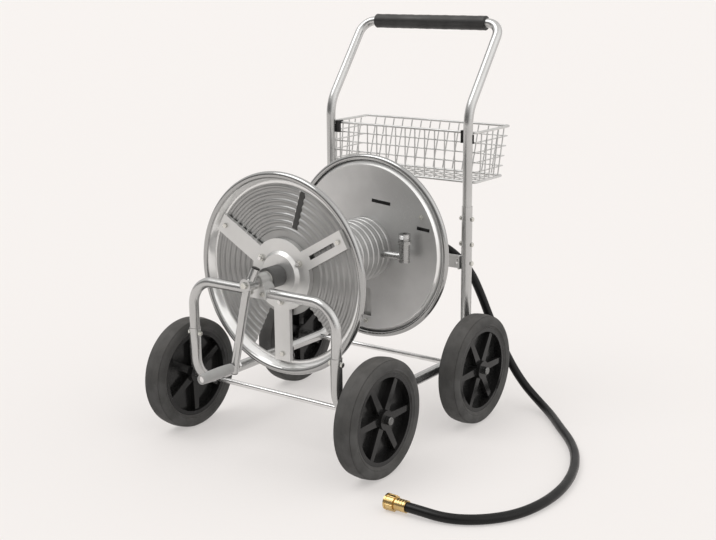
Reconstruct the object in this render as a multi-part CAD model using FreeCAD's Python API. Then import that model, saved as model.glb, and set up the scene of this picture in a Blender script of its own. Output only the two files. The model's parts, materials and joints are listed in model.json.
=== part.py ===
"""Four-wheeled hose reel cart with a push handle, a wire basket, a crank and a leader hose.

Millimetres, +Z up, +Y from the crank towards the handle, +X to the right when seen from the crank.
The origin is on the floor, under the middle of the cart's box without its hose.
"""
import FreeCAD, Part
import math
import os

V = FreeCAD.Vector
X_AXIS = V(1, 0, 0)
Y_AXIS = V(0, 1, 0)
Z_AXIS = V(0, 0, 1)

# Wheels and their axles
WHEEL_RADIUS = 127.0
TYRE_WIDTH = 50.0
TYRE_BEAD_WIDTH = 40.0
TYRE_FLANK_WIDTH = 49.0
TYRE_FLANK_RISE = 0.3
TYRE_BULGE_RISE = 0.55
TYRE_TREAD_WIDTH = 40.0
TYRE_SHOULDER_RISE = 0.9
TYRE_SEAT_RADIUS = 97.5
WHEEL_RIM_WIDTH = 40.0
WHEEL_RIM_WALL = 9.0
WHEEL_HUB_RADIUS = 21.0
WHEEL_HUB_WIDTH = 46.0
SPOKE_COUNT = 6
SPOKE_ROOT_WIDTH = 19.0
SPOKE_TIP_WIDTH = 12.0
SPOKE_THICKNESS = 32.0
LEFT_SPOKE_TURN_DEG = 0.0
RIGHT_SPOKE_TURN_DEG = 30.0
WHEEL_WEB = 4.0
SPACER_LENGTH = 31.0
WHEELBASE = 388.0
AXLE_DIAMETER = 12.0
AXLE_CAP_RADIUS = 8.8
AXLE_CAP_LENGTH = 11.0
AXLE_CAP_WALL = 2.4
SPACER_WALL = 3.5

# Frame tubes
UPPER_TUBE_OD = 22.0
TUBE_WALL = 1.2
FRAME_HALF_WIDTH = 195.0
HOOP_Y = -243.0
HOOP_BAR_Z = 366.0
HOOP_CORNER_RADIUS = 58.0
HOOP_SEAM_Z = 256.0
HOOP_PLUG_DEPTH = 44.0
RAIL_BEND_RADIUS = 62.0
REAR_LEG_Y = 262.0
HANDLE_SEAM_Z = 487.0
HANDLE_PLUG_DEPTH = 108.0
HANDLE_KNEE_Z = 703.0
HANDLE_KNEE_RADIUS = 95.0
HANDLE_BAR_Y = 405.0
HANDLE_BAR_Z = 894.0
HANDLE_CORNER_RADIUS = 36.0
GRIP_WALL = 6.0
GRIP_SET = 4.0
CROSSBAR_HEIGHT = 31.0
CROSSBAR_Z = 353.5
CROSSBAR_THICKNESS = 4.0
CROSSBAR_TAB_DEPTH = 24.0

# Reel
REEL_AXIS_Z = 390.0
FRONT_DISC_Y = -164.0
REAR_DISC_Y = 134.0
FRONT_DISC_RADIUS = 221.0
REAR_DISC_RADIUS = 217.0
DISC_SHEET = 1.2
DISC_BORE_RADIUS = 34.0
RIM_BEAD_RADIUS = 7.5
RIM_BEAD_RISE = 13.0
RIM_BEAD_CURL_DEG = 275.0
RIM_BAND_SLOPE_DEG = 60.0
RIB_COUNT = 7
RIB_FIRST_RADIUS = 98.0
RIB_LAST_RADIUS = 188.0
RIB_HALF_WIDTH = 4.6
RIB_HEIGHT = 3.0
DRUM_RADIUS = 74.0
DRUM_SHEET = 1.5
DRUM_RING_COUNT = 15
DRUM_RING_HEIGHT = 1.8
DRUM_RING_HALF_WIDTH = 4.0
SPIDER_SHEET = 2.0
SPIDER_DEPTH = 14.0
SPIDER_HUB_RADIUS = 78.0
SPIDER_BOSS_RADIUS = 45.0
SPIDER_BOSS_DEPTH = 22.0
SPIDER_ARM_WIDTH = 42.0
SPIDER_ARM_REACH = 192.0
SPIDER_ARM_ANGLES_DEG = (30.0, 150.0, 270.0)
SPIDER_BOLT_RADIUS = 177.0
ARM_SLOT_LENGTH = 74.0
ARM_SLOT_WIDTH = 9.0
ARM_SLOT_RADIUS = 128.0
TIE_ROD_RADIUS = 4.0
TIE_ROD_NUT_RADIUS = 7.6
TIE_ROD_CIRCLE = 60.0
REEL_AXLE_RADIUS = 11.0
REEL_AXLE_BORE = 7.0
REEL_JOURNAL_RADIUS = 8.0
REEL_AXLE_BORE_DEPTH = 190.0
SLEEVE_RADIUS = 23.0
OUTLET_Y = 100.0
OUTLET_PIPE_RADIUS = 8.0
OUTLET_PIPE_BORE = 5.5
OUTLET_ELBOW_X = 130.0
OUTLET_HEIGHT = 54.0
OUTLET_BODY_RADIUS = 12.0
OUTLET_NOSE_RADIUS = 11.0
OUTLET_COLLAR_RADIUS = 16.3
OUTLET_COLLAR_SET = 10.0
OUTLET_COLLAR_LENGTH = 8.0
HOSE_THREAD_RADIUS = 13.3
HOSE_THREAD_LENGTH = 14.0

# Openings in the reel discs
STRIP_ANGLE_DEG = 73.0
STRIP_WIDTH = 15.0
STRIP_INNER = 104.0
STRIP_OUTER = 190.0
WINDOW_FROM_DEG = 243.0
WINDOW_TO_DEG = 316.0
WINDOW_INNER = 92.0
WINDOW_ARM_GAP = 2.0
WINDOW_OUTER = 191.0
REAR_SLOT_WIDTH = 8.0
REAR_SLOT_LEAN_DEG = -5.0
REAR_SLOT_RADIUS = 119.0
REAR_SLOT_ANGLE_DEG = 69.0
REAR_SLOT_LENGTH = 52.0
REAR_NOTCH_RADIUS = 169.0
REAR_NOTCH_ANGLE_DEG = 21.0
REAR_NOTCH_LENGTH = 34.0
GROMMET_LIP = 2.0
GROMMET_FLANGE = 1.5
REAR_WINDOW_WIDTH = 26.0
REAR_WINDOW_INNER = 96.0
REAR_WINDOW_OUTER = 164.0

# Reel bearings
BUSH_WALL = 2.5
BUSH_FLANGE_RADIUS = 17.0
BUSH_FLANGE_THICKNESS = 2.0
SADDLE_HALF_WIDTH = 24.0
SADDLE_CHEEK = 4.0
BEARING_CAP_RADIUS = 17.0
REAR_BLOCK_DEPTH = 22.0

# Crank
CRANK_Y = -285.0
CRANK_ARM_LENGTH = 190.0
CRANK_LEAN_DEG = 13.0
CRANK_TUBE_OD = 18.0
CRANK_TUBE_WALL = 2.0
CRANK_TAIL_RISE = 33.0
CRANK_TAIL_SIDE = 12.0
CRANK_TAIL_SET = 13.0
CRANK_BEND_DROP = 15.0
CRANK_BEND_RADIUS = 60.0
CRANK_FOOT = 13.0
CRANK_SEAT = 1.0
CRANK_BOSS_RADIUS = 14.0
CRANK_BOSS_FRONT = 9.5
CRANK_BOSS_BACK = 22.0
CRANK_PIN_RADIUS = 4.0
CRANK_GRIP_LENGTH = 92.0
CRANK_GRIP_RADIUS = 12.0
CRANK_GRIP_END_SHARE = 0.84
CRANK_HEX_RADIUS = 7.4
CRANK_BOLT_HEAD = 5.3
CRANK_BOLT_DEPTH = 18.0
CRANK_BOLT_SPARE = 2.0
CRANK_PIN_HEAD_RADIUS = 6.8
CRANK_PIN_HEAD = 4.0
CRANK_PIN_SET = 2.0
CRANK_WASHER = 3.0
PLUG_CROWN = 2.5
PLUG_CROWN_FILLET = 2.0
PLUG_STEM = 4.0

# Basket
RIM_WIRE = 6.0
BASKET_WIRE = 3.2
BASKET_OVERHANG = 12.0
BASKET_TOP_Z = 655.0
BASKET_DEPTH_TOP = 156.3
BASKET_DEPTH_FLOOR = 123.0
BASKET_HEIGHT = 114.0
BASKET_CORNER_RADIUS = 8.0
BASKET_UPRIGHTS = 14
BASKET_SIDE_UPRIGHTS = 5
BASKET_ROWS = 4
BASKET_FLOOR_ROWS = 4
WIRE_LAP = 0.7
CLIP_WALL = 2.5
CLIP_HEIGHT = 20.0
CLIP_HOOK_WIDTH = 10.5
CLIP_SET = 3.0
CLIP_PEG_RADIUS = 2.5
CLIP_PEG_REACH = 6.0

# Water inlet and leader hose
INLET_Y = 283.0
INLET_SPIGOT_LENGTH = 30.0
O_RING_SETS = (13.5, 22.5)
INLET_BODY_RADIUS = 12.5
INLET_REACH = 30.0
INLET_BRANCH_RADIUS = 11.5
INLET_COLLAR_RADIUS = 14.5
INLET_COLLAR_LENGTH = 8.0
INLET_WATERWAY = 4.5
BARB_LENGTH = 26.0
O_RING_WIRE = 2.0
HOSE_OD = 20.0
HOSE_BORE = 13.0
FERRULE_LENGTH = 24.0
HOSE_LEAD = 57.7
FERRULE_WALL = 1.8
COUPLING_RADIUS = 16.4
COUPLING_LENGTH = 21.0
COUPLING_THREAD_RADIUS = 13.5
COUPLING_THREAD_LENGTH = 12.0
COUPLING_STEP = 0.9
TAIL_SHOULDER = 2.0
NECK_WALL = 2.0
COUPLING_LIP = 3.0
COUPLING_COLLAR = 2.6
COUPLING_RIBS = 10
COUPLING_RIB_RADIUS = 1.9
COUPLING_RIB_STAND = 1.045
COUPLING_FLANGE = 4.0
COUPLING_RIB_SHORT = 2.0
WASHER_THICKNESS = 2.4

# Fasteners
BOLT_RADIUS = 3.0
BOLT_HEAD_RADIUS = 5.6
BOLT_HEAD_HEIGHT = 4.0
NUT_HEIGHT = 5.0
SADDLE_BOLT_X = 17.0
REAR_BLOCK_BOLT_X = 13.0
HOOP_BOLT_DROP = 12.0
HANDLE_BOLT_DROPS = (29.0, 89.0)

# Clearances
SOCKET_CLEARANCE = 0.3
RUNNING_CLEARANCE = 0.06
HOLE_CLEARANCE = 0.2
SEAT_GAP = 0.2
SIDE_PLAY = 0.3
PIPE_CLEARANCE = 0.15

# Route of the leader hose on its middle line, after its straight lead out of the inlet, seen from the origin
HOSE_ROUTE = [
    (143.0, 266.0, 368.0), (184.0, 277.0, 325.0),
    (206.0, 290.0, 268.0), (224.0, 303.0, 208.0), (248.0, 315.0, 149.0), (276.0, 323.0, 94.0),
    (308.0, 326.0, 52.0), (352.0, 316.0, 23.0), (402.0, 283.0, 10.3), (455.0, 223.0, 10.2),
    (512.0, 161.0, 10.2), (557.0, 96.0, 10.2), (594.0, 13.0, 10.2), (615.0, -79.0, 10.2),
    (615.0, -165.0, 10.2), (596.0, -240.0, 10.2), (552.0, -297.0, 10.2), (497.0, -329.0, 11.0),
    (440.0, -338.0, 16.8), (392.0, -338.0, 16.8),
]
ARC_SHARE = 0.45

# Sizes that follow from the ones above
FRAME_TUBE_OD = UPPER_TUBE_OD + 2 * (SOCKET_CLEARANCE + TUBE_WALL)
AXLE_RADIUS = AXLE_DIAMETER / 2
RAIL_Z = WHEEL_RADIUS
GRIP_LENGTH = 2 * (FRAME_HALF_WIDTH - HANDLE_CORNER_RADIUS - GRIP_SET)
HALF_BASE = WHEELBASE / 2
RAIL_OUTER_X = FRAME_HALF_WIDTH + FRAME_TUBE_OD / 2
HUB_INNER_X = RAIL_OUTER_X + SEAT_GAP + SPACER_LENGTH + SIDE_PLAY
HUB_OUTER_X = HUB_INNER_X + WHEEL_HUB_WIDTH
TRACK = HUB_INNER_X + HUB_OUTER_X
HALF_TRACK = TRACK / 2
CRANK_RADIUS = CRANK_TUBE_OD / 2
CRANK_FRONT_Y = CRANK_Y - CRANK_RADIUS
CRANK_GRIP_BACK_Y = CRANK_FRONT_Y - CRANK_WASHER - 2 * SIDE_PLAY
CRANK_GRIP_FRONT_Y = CRANK_GRIP_BACK_Y - CRANK_GRIP_LENGTH
CRANK_END_X = -CRANK_ARM_LENGTH * math.sin(math.radians(CRANK_LEAN_DEG))
CRANK_END_Z = REEL_AXIS_Z - CRANK_ARM_LENGTH * math.cos(math.radians(CRANK_LEAN_DEG))
BASKET_HALF_WIDTH = FRAME_HALF_WIDTH + BASKET_OVERHANG
BASKET_FRONT_Y = REAR_LEG_Y + UPPER_TUBE_OD / 2 + SOCKET_CLEARANCE + RIM_WIRE / 2
BASKET_BACK_Y = BASKET_FRONT_Y + BASKET_DEPTH_TOP
BASKET_FLOOR_BACK_Y = BASKET_FRONT_Y + BASKET_DEPTH_FLOOR
BASKET_FLOOR_Z = BASKET_TOP_Z - BASKET_HEIGHT
CLIP_TOP_Z = BASKET_TOP_Z - RIM_WIRE / 2 - SIDE_PLAY
CLIP_PEG_Z = CLIP_TOP_Z - CLIP_HEIGHT / 2
SADDLE_FRONT_Y = HOOP_Y - UPPER_TUBE_OD / 2 - SADDLE_CHEEK
SADDLE_BACK_Y = HOOP_Y + UPPER_TUBE_OD / 2 + SADDLE_CHEEK
CROSSBAR_FRONT_Y = REAR_LEG_Y - CROSSBAR_THICKNESS / 2
CROSSBAR_BACK_Y = REAR_LEG_Y + CROSSBAR_THICKNESS / 2
REAR_BLOCK_FRONT_Y = CROSSBAR_FRONT_Y - REAR_BLOCK_DEPTH
FRONT_BOSS_Y = FRONT_DISC_Y - SPIDER_BOSS_DEPTH
REAR_BOSS_Y = REAR_DISC_Y + SPIDER_BOSS_DEPTH
REEL_AXLE_FRONT_Y = CRANK_Y + CRANK_RADIUS - CRANK_SEAT
REEL_AXLE_REAR_Y = INLET_Y - INLET_BODY_RADIUS - SIDE_PLAY
STEM_RADIUS = HOSE_BORE / 2 - PIPE_CLEARANCE
COLLAR_SET = SEAT_GAP + TAIL_SHOULDER + SIDE_PLAY + COUPLING_LIP + SIDE_PLAY
CUT_LENGTH = 1000.0
OVERCUT = 1.0

# The cart's box without the hose runs from the crank grip to the basket's rim.
# The origin is under its middle.
MIDDLE_Y = (CRANK_GRIP_FRONT_Y + BASKET_BACK_Y + RIM_WIRE / 2) / 2

NODES = {}


def keep(name, shape):
    """Keeps a finished sub-part, or a group of equal ones, under its node name."""
    NODES[name] = shape


def rod(start, direction, radius, length):
    """Round bar from a start point along a direction."""
    return Part.makeCylinder(radius, length, start, direction)


def ring(start, direction, outer, inner, length):
    """Round bar with a round hole right through it."""
    extra = V(direction).multiply(OVERCUT)
    hole = rod(start.sub(extra), direction, inner, length + 2 * OVERCUT)
    return rod(start, direction, outer, length).cut(hole)


def block(low, high):
    """Box between two corners."""
    size = high.sub(low)
    return Part.makeBox(size.x, size.y, size.z, low)


def joined(shapes):
    """One solid out of several that overlap."""
    first = shapes[0]
    if len(shapes) == 1:
        return first
    return first.multiFuse(shapes[1:]).removeSplitter()


def mirrored(shape):
    """The same shape on the other side of the cart."""
    return shape.mirror(V(0, 0, 0), X_AXIS)


def both_sides(shape):
    """A shape and its mirror image as separate solids."""
    return Part.makeCompound([shape, mirrored(shape)])


def turned(shape, angle_deg, centre, axis):
    """A copy turned about an axis through a centre."""
    copy = shape.copy()
    copy.rotate(centre, axis, angle_deg)
    return copy


def rounded_path(points, radii):
    """Wire of straight runs joined by tangent arcs, with one radius for each inner point."""
    edges = []
    start = points[0]
    for before, corner, after, radius in zip(points, points[1:], points[2:], radii):
        back = before.sub(corner).normalize()
        ahead = after.sub(corner).normalize()
        half_opening = back.getAngle(ahead) / 2
        reach = radius / math.tan(half_opening)
        enter = corner.add(V(back).multiply(reach))
        leave = corner.add(V(ahead).multiply(reach))
        bisector = back.add(ahead).normalize()
        middle = corner.add(bisector.multiply(radius / math.sin(half_opening) - radius))
        edges.append(Part.LineSegment(start, enter).toShape())
        edges.append(Part.Arc(enter, middle, leave).toShape())
        start = leave
    edges.append(Part.LineSegment(start, points[-1]).toShape())
    return Part.Wire(edges)


def swept_rod(path, radius):
    """Round bar swept along a path."""
    start = path.Edges[0]
    origin = start.valueAt(start.FirstParameter)
    circle = Part.Wire(Part.makeCircle(radius, origin, start.tangentAt(start.FirstParameter)))
    return path.makePipeShell([circle], True, False)


def swept_tube(path, radius, wall):
    """Tube swept along a path, open at both ends."""
    return swept_rod(path, radius).cut(swept_rod(path, radius - wall))


def turned_profile(edges, centre, axis):
    """Solid of revolution of a closed outline about an axis through a centre."""
    face = Part.Face(Part.Wire(edges))
    return face.revolve(centre, axis, 360)


def line(a, b):
    """Straight edge."""
    return Part.LineSegment(a, b).toShape()


def arc(a, middle, b):
    """Arc edge through three points."""
    return Part.Arc(a, middle, b).toShape()


def hexagon_bar(start, direction, across_corners, height):
    """Six-sided bar, such as a bolt's head."""
    frame = FreeCAD.Rotation(Z_AXIS, direction)
    corners = []
    for index in range(6):
        angle = math.radians(60 * index)
        corners.append(V(across_corners * math.cos(angle), across_corners * math.sin(angle), 0))
    face = Part.Face(Part.makePolygon(corners + corners[:1]))
    bar = face.extrude(V(0, 0, height))
    bar.Placement = FreeCAD.Placement(start, frame)
    return bar


def bolt_and_nut(head_seat, direction, grip, radius=BOLT_RADIUS):
    """Bolt whose head sits at a point, with its nut past the thickness that it grips."""
    scale = radius / BOLT_RADIUS
    head_height = BOLT_HEAD_HEIGHT * scale
    along = V(direction).normalize()
    seat = head_seat.sub(V(along).multiply(SEAT_GAP))
    head = hexagon_bar(seat.sub(V(along).multiply(head_height)), along, BOLT_HEAD_RADIUS * scale, head_height)
    shank = rod(seat, along, radius, grip + NUT_HEIGHT * scale + 2 * SEAT_GAP + radius / 2)
    nut_seat = head_seat.add(V(along).multiply(grip + SEAT_GAP))
    nut = hexagon_bar(nut_seat, along, BOLT_HEAD_RADIUS * scale, NUT_HEIGHT * scale)
    hole_start = nut_seat.sub(V(along).multiply(OVERCUT))
    nut = nut.cut(rod(hole_start, along, radius + RUNNING_CLEARANCE, NUT_HEIGHT * scale + 2 * OVERCUT))
    return head.fuse(shank), nut


def outer_edge(solid, direction):
    """The round edge of a bar that lies furthest along a direction."""
    rounds = [edge for edge in solid.Edges if edge.isClosed()]
    return max(rounds, key=lambda edge: edge.CenterOfMass.dot(direction))


def cross_hole(x, y, z, radius):
    """Long cutter along X."""
    return rod(V(x - CUT_LENGTH / 2, y, z), X_AXIS, radius, CUT_LENGTH)


def depth_hole(x, z, radius):
    """Long cutter along Y."""
    return rod(V(x, -CUT_LENGTH / 2, z), Y_AXIS, radius, CUT_LENGTH)


def polar(radius, angle_deg, y):
    """Point of the reel at a radius and an angle, seen from the crank."""
    angle = math.radians(angle_deg)
    return V(radius * math.cos(angle), y, REEL_AXIS_Z + radius * math.sin(angle))


def reel_turned(shape, angle_deg):
    """A copy of a shape that lies along +X of the reel, turned to an angle about the reel's axis."""
    return turned(shape, -angle_deg, V(0, 0, REEL_AXIS_Z), Y_AXIS)


# Frame
def side_frame():
    """Right side frame: front stub, rail at axle height and rear leg, bent from one tube."""
    x = FRAME_HALF_WIDTH
    stub = [V(x, HOOP_Y, HOOP_SEAM_Z), V(x, HOOP_Y, RAIL_Z)]
    points = stub + [V(x, REAR_LEG_Y, RAIL_Z), V(x, REAR_LEG_Y, HANDLE_SEAM_Z)]
    path = rounded_path(points, [RAIL_BEND_RADIUS] * 2)
    tube = swept_tube(path, FRAME_TUBE_OD / 2, TUBE_WALL)
    bolt_hole = BOLT_RADIUS + HOLE_CLEARANCE
    holes = [cross_hole(x, y, RAIL_Z, AXLE_RADIUS + HOLE_CLEARANCE) for y in (-HALF_BASE, HALF_BASE)]
    holes.append(cross_hole(x, HOOP_Y, HOOP_SEAM_Z - HOOP_BOLT_DROP, bolt_hole))
    holes.append(cross_hole(x, REAR_LEG_Y, CROSSBAR_Z, bolt_hole))
    holes += [cross_hole(x, REAR_LEG_Y, HANDLE_SEAM_Z - drop, bolt_hole) for drop in HANDLE_BOLT_DROPS]
    return tube.cut(holes)


def front_hoop():
    """Inverted U tube that stands in the front stubs and carries the front bearing on its bar."""
    x = FRAME_HALF_WIDTH
    low = HOOP_SEAM_Z - HOOP_PLUG_DEPTH
    points = [V(-x, HOOP_Y, low), V(-x, HOOP_Y, HOOP_BAR_Z), V(x, HOOP_Y, HOOP_BAR_Z), V(x, HOOP_Y, low)]
    tube = swept_tube(rounded_path(points, [HOOP_CORNER_RADIUS] * 2), UPPER_TUBE_OD / 2, TUBE_WALL)
    bolt_hole = BOLT_RADIUS + HOLE_CLEARANCE
    holes = [cross_hole(0, HOOP_Y, HOOP_SEAM_Z - HOOP_BOLT_DROP, bolt_hole)]
    holes += [depth_hole(x, HOOP_BAR_Z, bolt_hole) for x in (-SADDLE_BOLT_X, SADDLE_BOLT_X)]
    return tube.cut(holes)


def handle_tube():
    """Push handle: two legs that lean back from a knee, and the bar between them."""
    x = FRAME_HALF_WIDTH
    low = HANDLE_SEAM_Z - HANDLE_PLUG_DEPTH
    right = [V(x, HANDLE_BAR_Y, HANDLE_BAR_Z), V(x, REAR_LEG_Y, HANDLE_KNEE_Z), V(x, REAR_LEG_Y, low)]
    left = [V(-point.x, point.y, point.z) for point in reversed(right)]
    radii = [HANDLE_KNEE_RADIUS, HANDLE_CORNER_RADIUS, HANDLE_CORNER_RADIUS, HANDLE_KNEE_RADIUS]
    tube = swept_tube(rounded_path(left + right, radii), UPPER_TUBE_OD / 2, TUBE_WALL)
    hole = BOLT_RADIUS + HOLE_CLEARANCE
    holes = [cross_hole(0, REAR_LEG_Y, HANDLE_SEAM_Z - drop, hole) for drop in HANDLE_BOLT_DROPS]
    peg = rod(V(x, REAR_LEG_Y, CLIP_PEG_Z), Y_AXIS, CLIP_PEG_RADIUS + HOLE_CLEARANCE, UPPER_TUBE_OD)
    return tube.cut(holes + [peg, mirrored(peg)])


def hand_grip():
    """Foam sleeve on the handle's bar."""
    inner = UPPER_TUBE_OD / 2 + SEAT_GAP
    start = V(-GRIP_LENGTH / 2, HANDLE_BAR_Y, HANDLE_BAR_Z)
    return ring(start, X_AXIS, UPPER_TUBE_OD / 2 + GRIP_WALL, inner, GRIP_LENGTH)


def rear_crossbar():
    """Flat bar between the rear legs, with a bent tab at each end that is bolted to the leg."""
    tab_outer = FRAME_HALF_WIDTH - FRAME_TUBE_OD / 2 - SEAT_GAP
    tab_inner = tab_outer - CROSSBAR_THICKNESS
    low = CROSSBAR_Z - CROSSBAR_HEIGHT / 2
    high = CROSSBAR_Z + CROSSBAR_HEIGHT / 2
    bar = block(V(-tab_outer, CROSSBAR_FRONT_Y, low), V(tab_outer, CROSSBAR_BACK_Y, high))
    half = CROSSBAR_TAB_DEPTH / 2
    tab = block(V(tab_inner, REAR_LEG_Y - half, low), V(tab_outer, REAR_LEG_Y + half, high))
    bar = joined([bar, tab, mirrored(tab)])
    bolt_hole = BOLT_RADIUS + HOLE_CLEARANCE
    bar = bar.cut(block_bolt_holes(bolt_hole))
    for side in (-1, 1):
        end = V(side * (tab_inner - 2 * BOLT_HEAD_RADIUS), REAR_LEG_Y, CROSSBAR_Z)
        bar = bar.cut(rod(end, V(side, 0, 0), bolt_hole, 3 * BOLT_HEAD_RADIUS))
        pocket = BOLT_HEAD_RADIUS + HOLE_CLEARANCE
        bar = bar.cut(rod(end, V(side, 0, 0), pocket, 2 * BOLT_HEAD_RADIUS))
    return bar


def block_bolt_holes(radius):
    """Cutters for the bolts that hold the rear bearing block to the crossbar."""
    return [depth_hole(x, CROSSBAR_Z, radius) for x in (-REAR_BLOCK_BOLT_X, REAR_BLOCK_BOLT_X)]


def frame_fasteners():
    """Bolts and nuts of the tube joints and of the crossbar, on the right side."""
    outer = RAIL_OUTER_X
    tab = SEAT_GAP + CROSSBAR_THICKNESS
    places = [(HOOP_Y, HOOP_SEAM_Z - HOOP_BOLT_DROP, 0.0), (REAR_LEG_Y, CROSSBAR_Z, tab)]
    places += [(REAR_LEG_Y, HANDLE_SEAM_Z - drop, 0.0) for drop in HANDLE_BOLT_DROPS]
    return [bolt_and_nut(V(outer, y, z), V(-1, 0, 0), FRAME_TUBE_OD + more) for y, z, more in places]


# Wheels and axles
def wheel_axle(y):
    """Steel rod through both rails, with a wheel at each end."""
    half = HUB_OUTER_X + SIDE_PLAY + AXLE_CAP_LENGTH - AXLE_CAP_WALL - SEAT_GAP
    return rod(V(-half, y, RAIL_Z), X_AXIS, AXLE_RADIUS, 2 * half)


def axle_spacer(y):
    """Short tube on the axle that keeps the right wheel off the rail."""
    start = RAIL_OUTER_X + SEAT_GAP
    inner = AXLE_RADIUS + HOLE_CLEARANCE
    return ring(V(start, y, RAIL_Z), X_AXIS, inner + SPACER_WALL, inner, SPACER_LENGTH)


def axle_cap(y):
    """Domed push-on cap that holds the right wheel on its axle."""
    start = HUB_OUTER_X + SIDE_PLAY
    cap = rod(V(start, 0, 0), X_AXIS, AXLE_CAP_RADIUS, AXLE_CAP_LENGTH)
    cap = cap.makeFillet(AXLE_CAP_WALL, [outer_edge(cap, X_AXIS)])
    depth = AXLE_CAP_LENGTH - AXLE_CAP_WALL
    socket = rod(V(start - OVERCUT, 0, 0), X_AXIS, AXLE_RADIUS + RUNNING_CLEARANCE, depth + OVERCUT)
    cap = cap.cut(socket)
    cap.translate(V(0, y, RAIL_Z))
    return cap


def wheel_centre(spoke_turn_deg):
    """Plastic wheel about the X axis, at the origin: spokes that stand out on both sides of a closed web."""
    half_rim = WHEEL_RIM_WIDTH / 2
    rim_inner = TYRE_SEAT_RADIUS - WHEEL_RIM_WALL
    rim = ring(V(-half_rim, 0, 0), X_AXIS, TYRE_SEAT_RADIUS, rim_inner, WHEEL_RIM_WIDTH)
    hub = rod(V(-WHEEL_HUB_WIDTH / 2, 0, 0), X_AXIS, WHEEL_HUB_RADIUS, WHEEL_HUB_WIDTH)
    tip = TYRE_SEAT_RADIUS - WHEEL_RIM_WALL / 2
    web = rod(V(-WHEEL_WEB / 2, 0, 0), X_AXIS, tip, WHEEL_WEB)
    half = SPOKE_THICKNESS / 2
    root = SPOKE_ROOT_WIDTH / 2
    end = SPOKE_TIP_WIDTH / 2
    corners = [V(-half, -root, 0), V(-half, root, 0), V(-half, end, tip), V(-half, -end, tip)]
    spoke = Part.Face(Part.makePolygon(corners + corners[:1])).extrude(V(SPOKE_THICKNESS, 0, 0))
    turns = [spoke_turn_deg + 360 / SPOKE_COUNT * index for index in range(SPOKE_COUNT)]
    spokes = [turned(spoke, turn, V(0, 0, 0), X_AXIS) for turn in turns]
    wheel = joined([rim, hub, web] + spokes)
    return wheel.cut(cross_hole(0, 0, 0, AXLE_RADIUS + RUNNING_CLEARANCE))


def tyre():
    """Solid rubber tyre about the X axis, at the origin."""
    inner = TYRE_SEAT_RADIUS + SEAT_GAP
    height = WHEEL_RADIUS - inner
    bead = V(TYRE_BEAD_WIDTH / 2, inner, 0)
    flank = V(TYRE_FLANK_WIDTH / 2, inner + height * TYRE_FLANK_RISE, 0)
    bulge = V(TYRE_WIDTH / 2, inner + height * TYRE_BULGE_RISE, 0)
    shoulder = V(TYRE_TREAD_WIDTH / 2, inner + height * TYRE_SHOULDER_RISE, 0)
    crown = V(0, WHEEL_RADIUS, 0)

    def other(point):
        return V(-point.x, point.y, 0)

    edges = [line(other(bead), bead), line(bead, flank), arc(flank, bulge, shoulder)]
    edges += [arc(shoulder, crown, other(shoulder)), arc(other(shoulder), other(bulge), other(flank))]
    edges.append(line(other(flank), other(bead)))
    return turned_profile(edges, V(0, 0, 0), X_AXIS)


# Reel
def disc(y, outward, radius, ribs):
    """Pressed sheet disc with concentric ribs, a sloped band and a rolled rim; outward is -1 or 1 along Y."""
    sheet = DISC_SHEET
    centre = (radius - RIM_BEAD_RADIUS, RIM_BEAD_RISE)
    slope = math.radians(RIM_BAND_SLOPE_DEG)

    def at(radius, rise):
        return V(radius, y + outward * rise, REEL_AXIS_Z)

    def on_bead(radius, angle_deg):
        angle = math.radians(angle_deg)
        return at(centre[0] + radius * math.cos(angle), centre[1] + radius * math.sin(angle))

    def band_foot(radius, rise):
        top = centre[1] + radius * math.cos(slope)
        return centre[0] - radius * math.sin(slope) - (top - rise) / math.tan(slope)

    def face_edges(rise, foot):
        edges = []
        start = at(DISC_BORE_RADIUS, rise)
        for middle in ribs:
            enter = at(middle - RIB_HALF_WIDTH, rise)
            leave = at(middle + RIB_HALF_WIDTH, rise)
            edges += [line(start, enter), arc(enter, at(middle, rise + RIB_HEIGHT), leave)]
            start = leave
        edges.append(line(start, at(foot, rise)))
        return edges

    outer = RIM_BEAD_RADIUS
    inner = RIM_BEAD_RADIUS - sheet
    begin = 90 + RIM_BAND_SLOPE_DEG
    finish = begin - RIM_BEAD_CURL_DEG
    halfway = (begin + finish) / 2
    front_foot = band_foot(outer, sheet)
    back_foot = band_foot(inner, 0.0)
    edges = [line(at(DISC_BORE_RADIUS, 0.0), at(DISC_BORE_RADIUS, sheet))]
    edges += face_edges(sheet, front_foot)
    edges.append(line(at(front_foot, sheet), on_bead(outer, begin)))
    edges.append(arc(on_bead(outer, begin), on_bead(outer, halfway), on_bead(outer, finish)))
    edges.append(line(on_bead(outer, finish), on_bead(inner, finish)))
    edges.append(arc(on_bead(inner, finish), on_bead(inner, halfway), on_bead(inner, begin)))
    edges.append(line(on_bead(inner, begin), at(back_foot, 0.0)))
    edges += face_edges(0.0, back_foot)
    return turned_profile(Part.__sortEdges__(edges), V(0, 0, REEL_AXIS_Z), Y_AXIS)


def rib_radii():
    """Radii of the front disc's pressed ribs."""
    step = (RIB_LAST_RADIUS - RIB_FIRST_RADIUS) / (RIB_COUNT - 1)
    return [RIB_FIRST_RADIUS + step * index for index in range(RIB_COUNT)]


def radial_slot(y, inner, outer, width, angle_deg):
    """Cutter for a straight slot along a radius of a disc."""
    depth = SPIDER_DEPTH
    cutter = block(V(inner, y - depth, REEL_AXIS_Z - width / 2), V(outer, y + depth, REEL_AXIS_Z + width / 2))
    return reel_turned(cutter, angle_deg)


def sector_window(y, inner, outer, from_deg, to_deg):
    """Cutter for a window between two radii and two angles of a disc."""
    low, high = y - SPIDER_DEPTH, y + SPIDER_DEPTH
    places = ((inner, low), (outer, low), (outer, high), (inner, high))
    corners = [V(radius, depth, REEL_AXIS_Z) for radius, depth in places]
    face = Part.Face(Part.makePolygon(corners + corners[:1]))
    sector = face.revolve(V(0, 0, REEL_AXIS_Z), V(0, -1, 0), to_deg - from_deg)
    return reel_turned(sector, from_deg)


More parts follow.
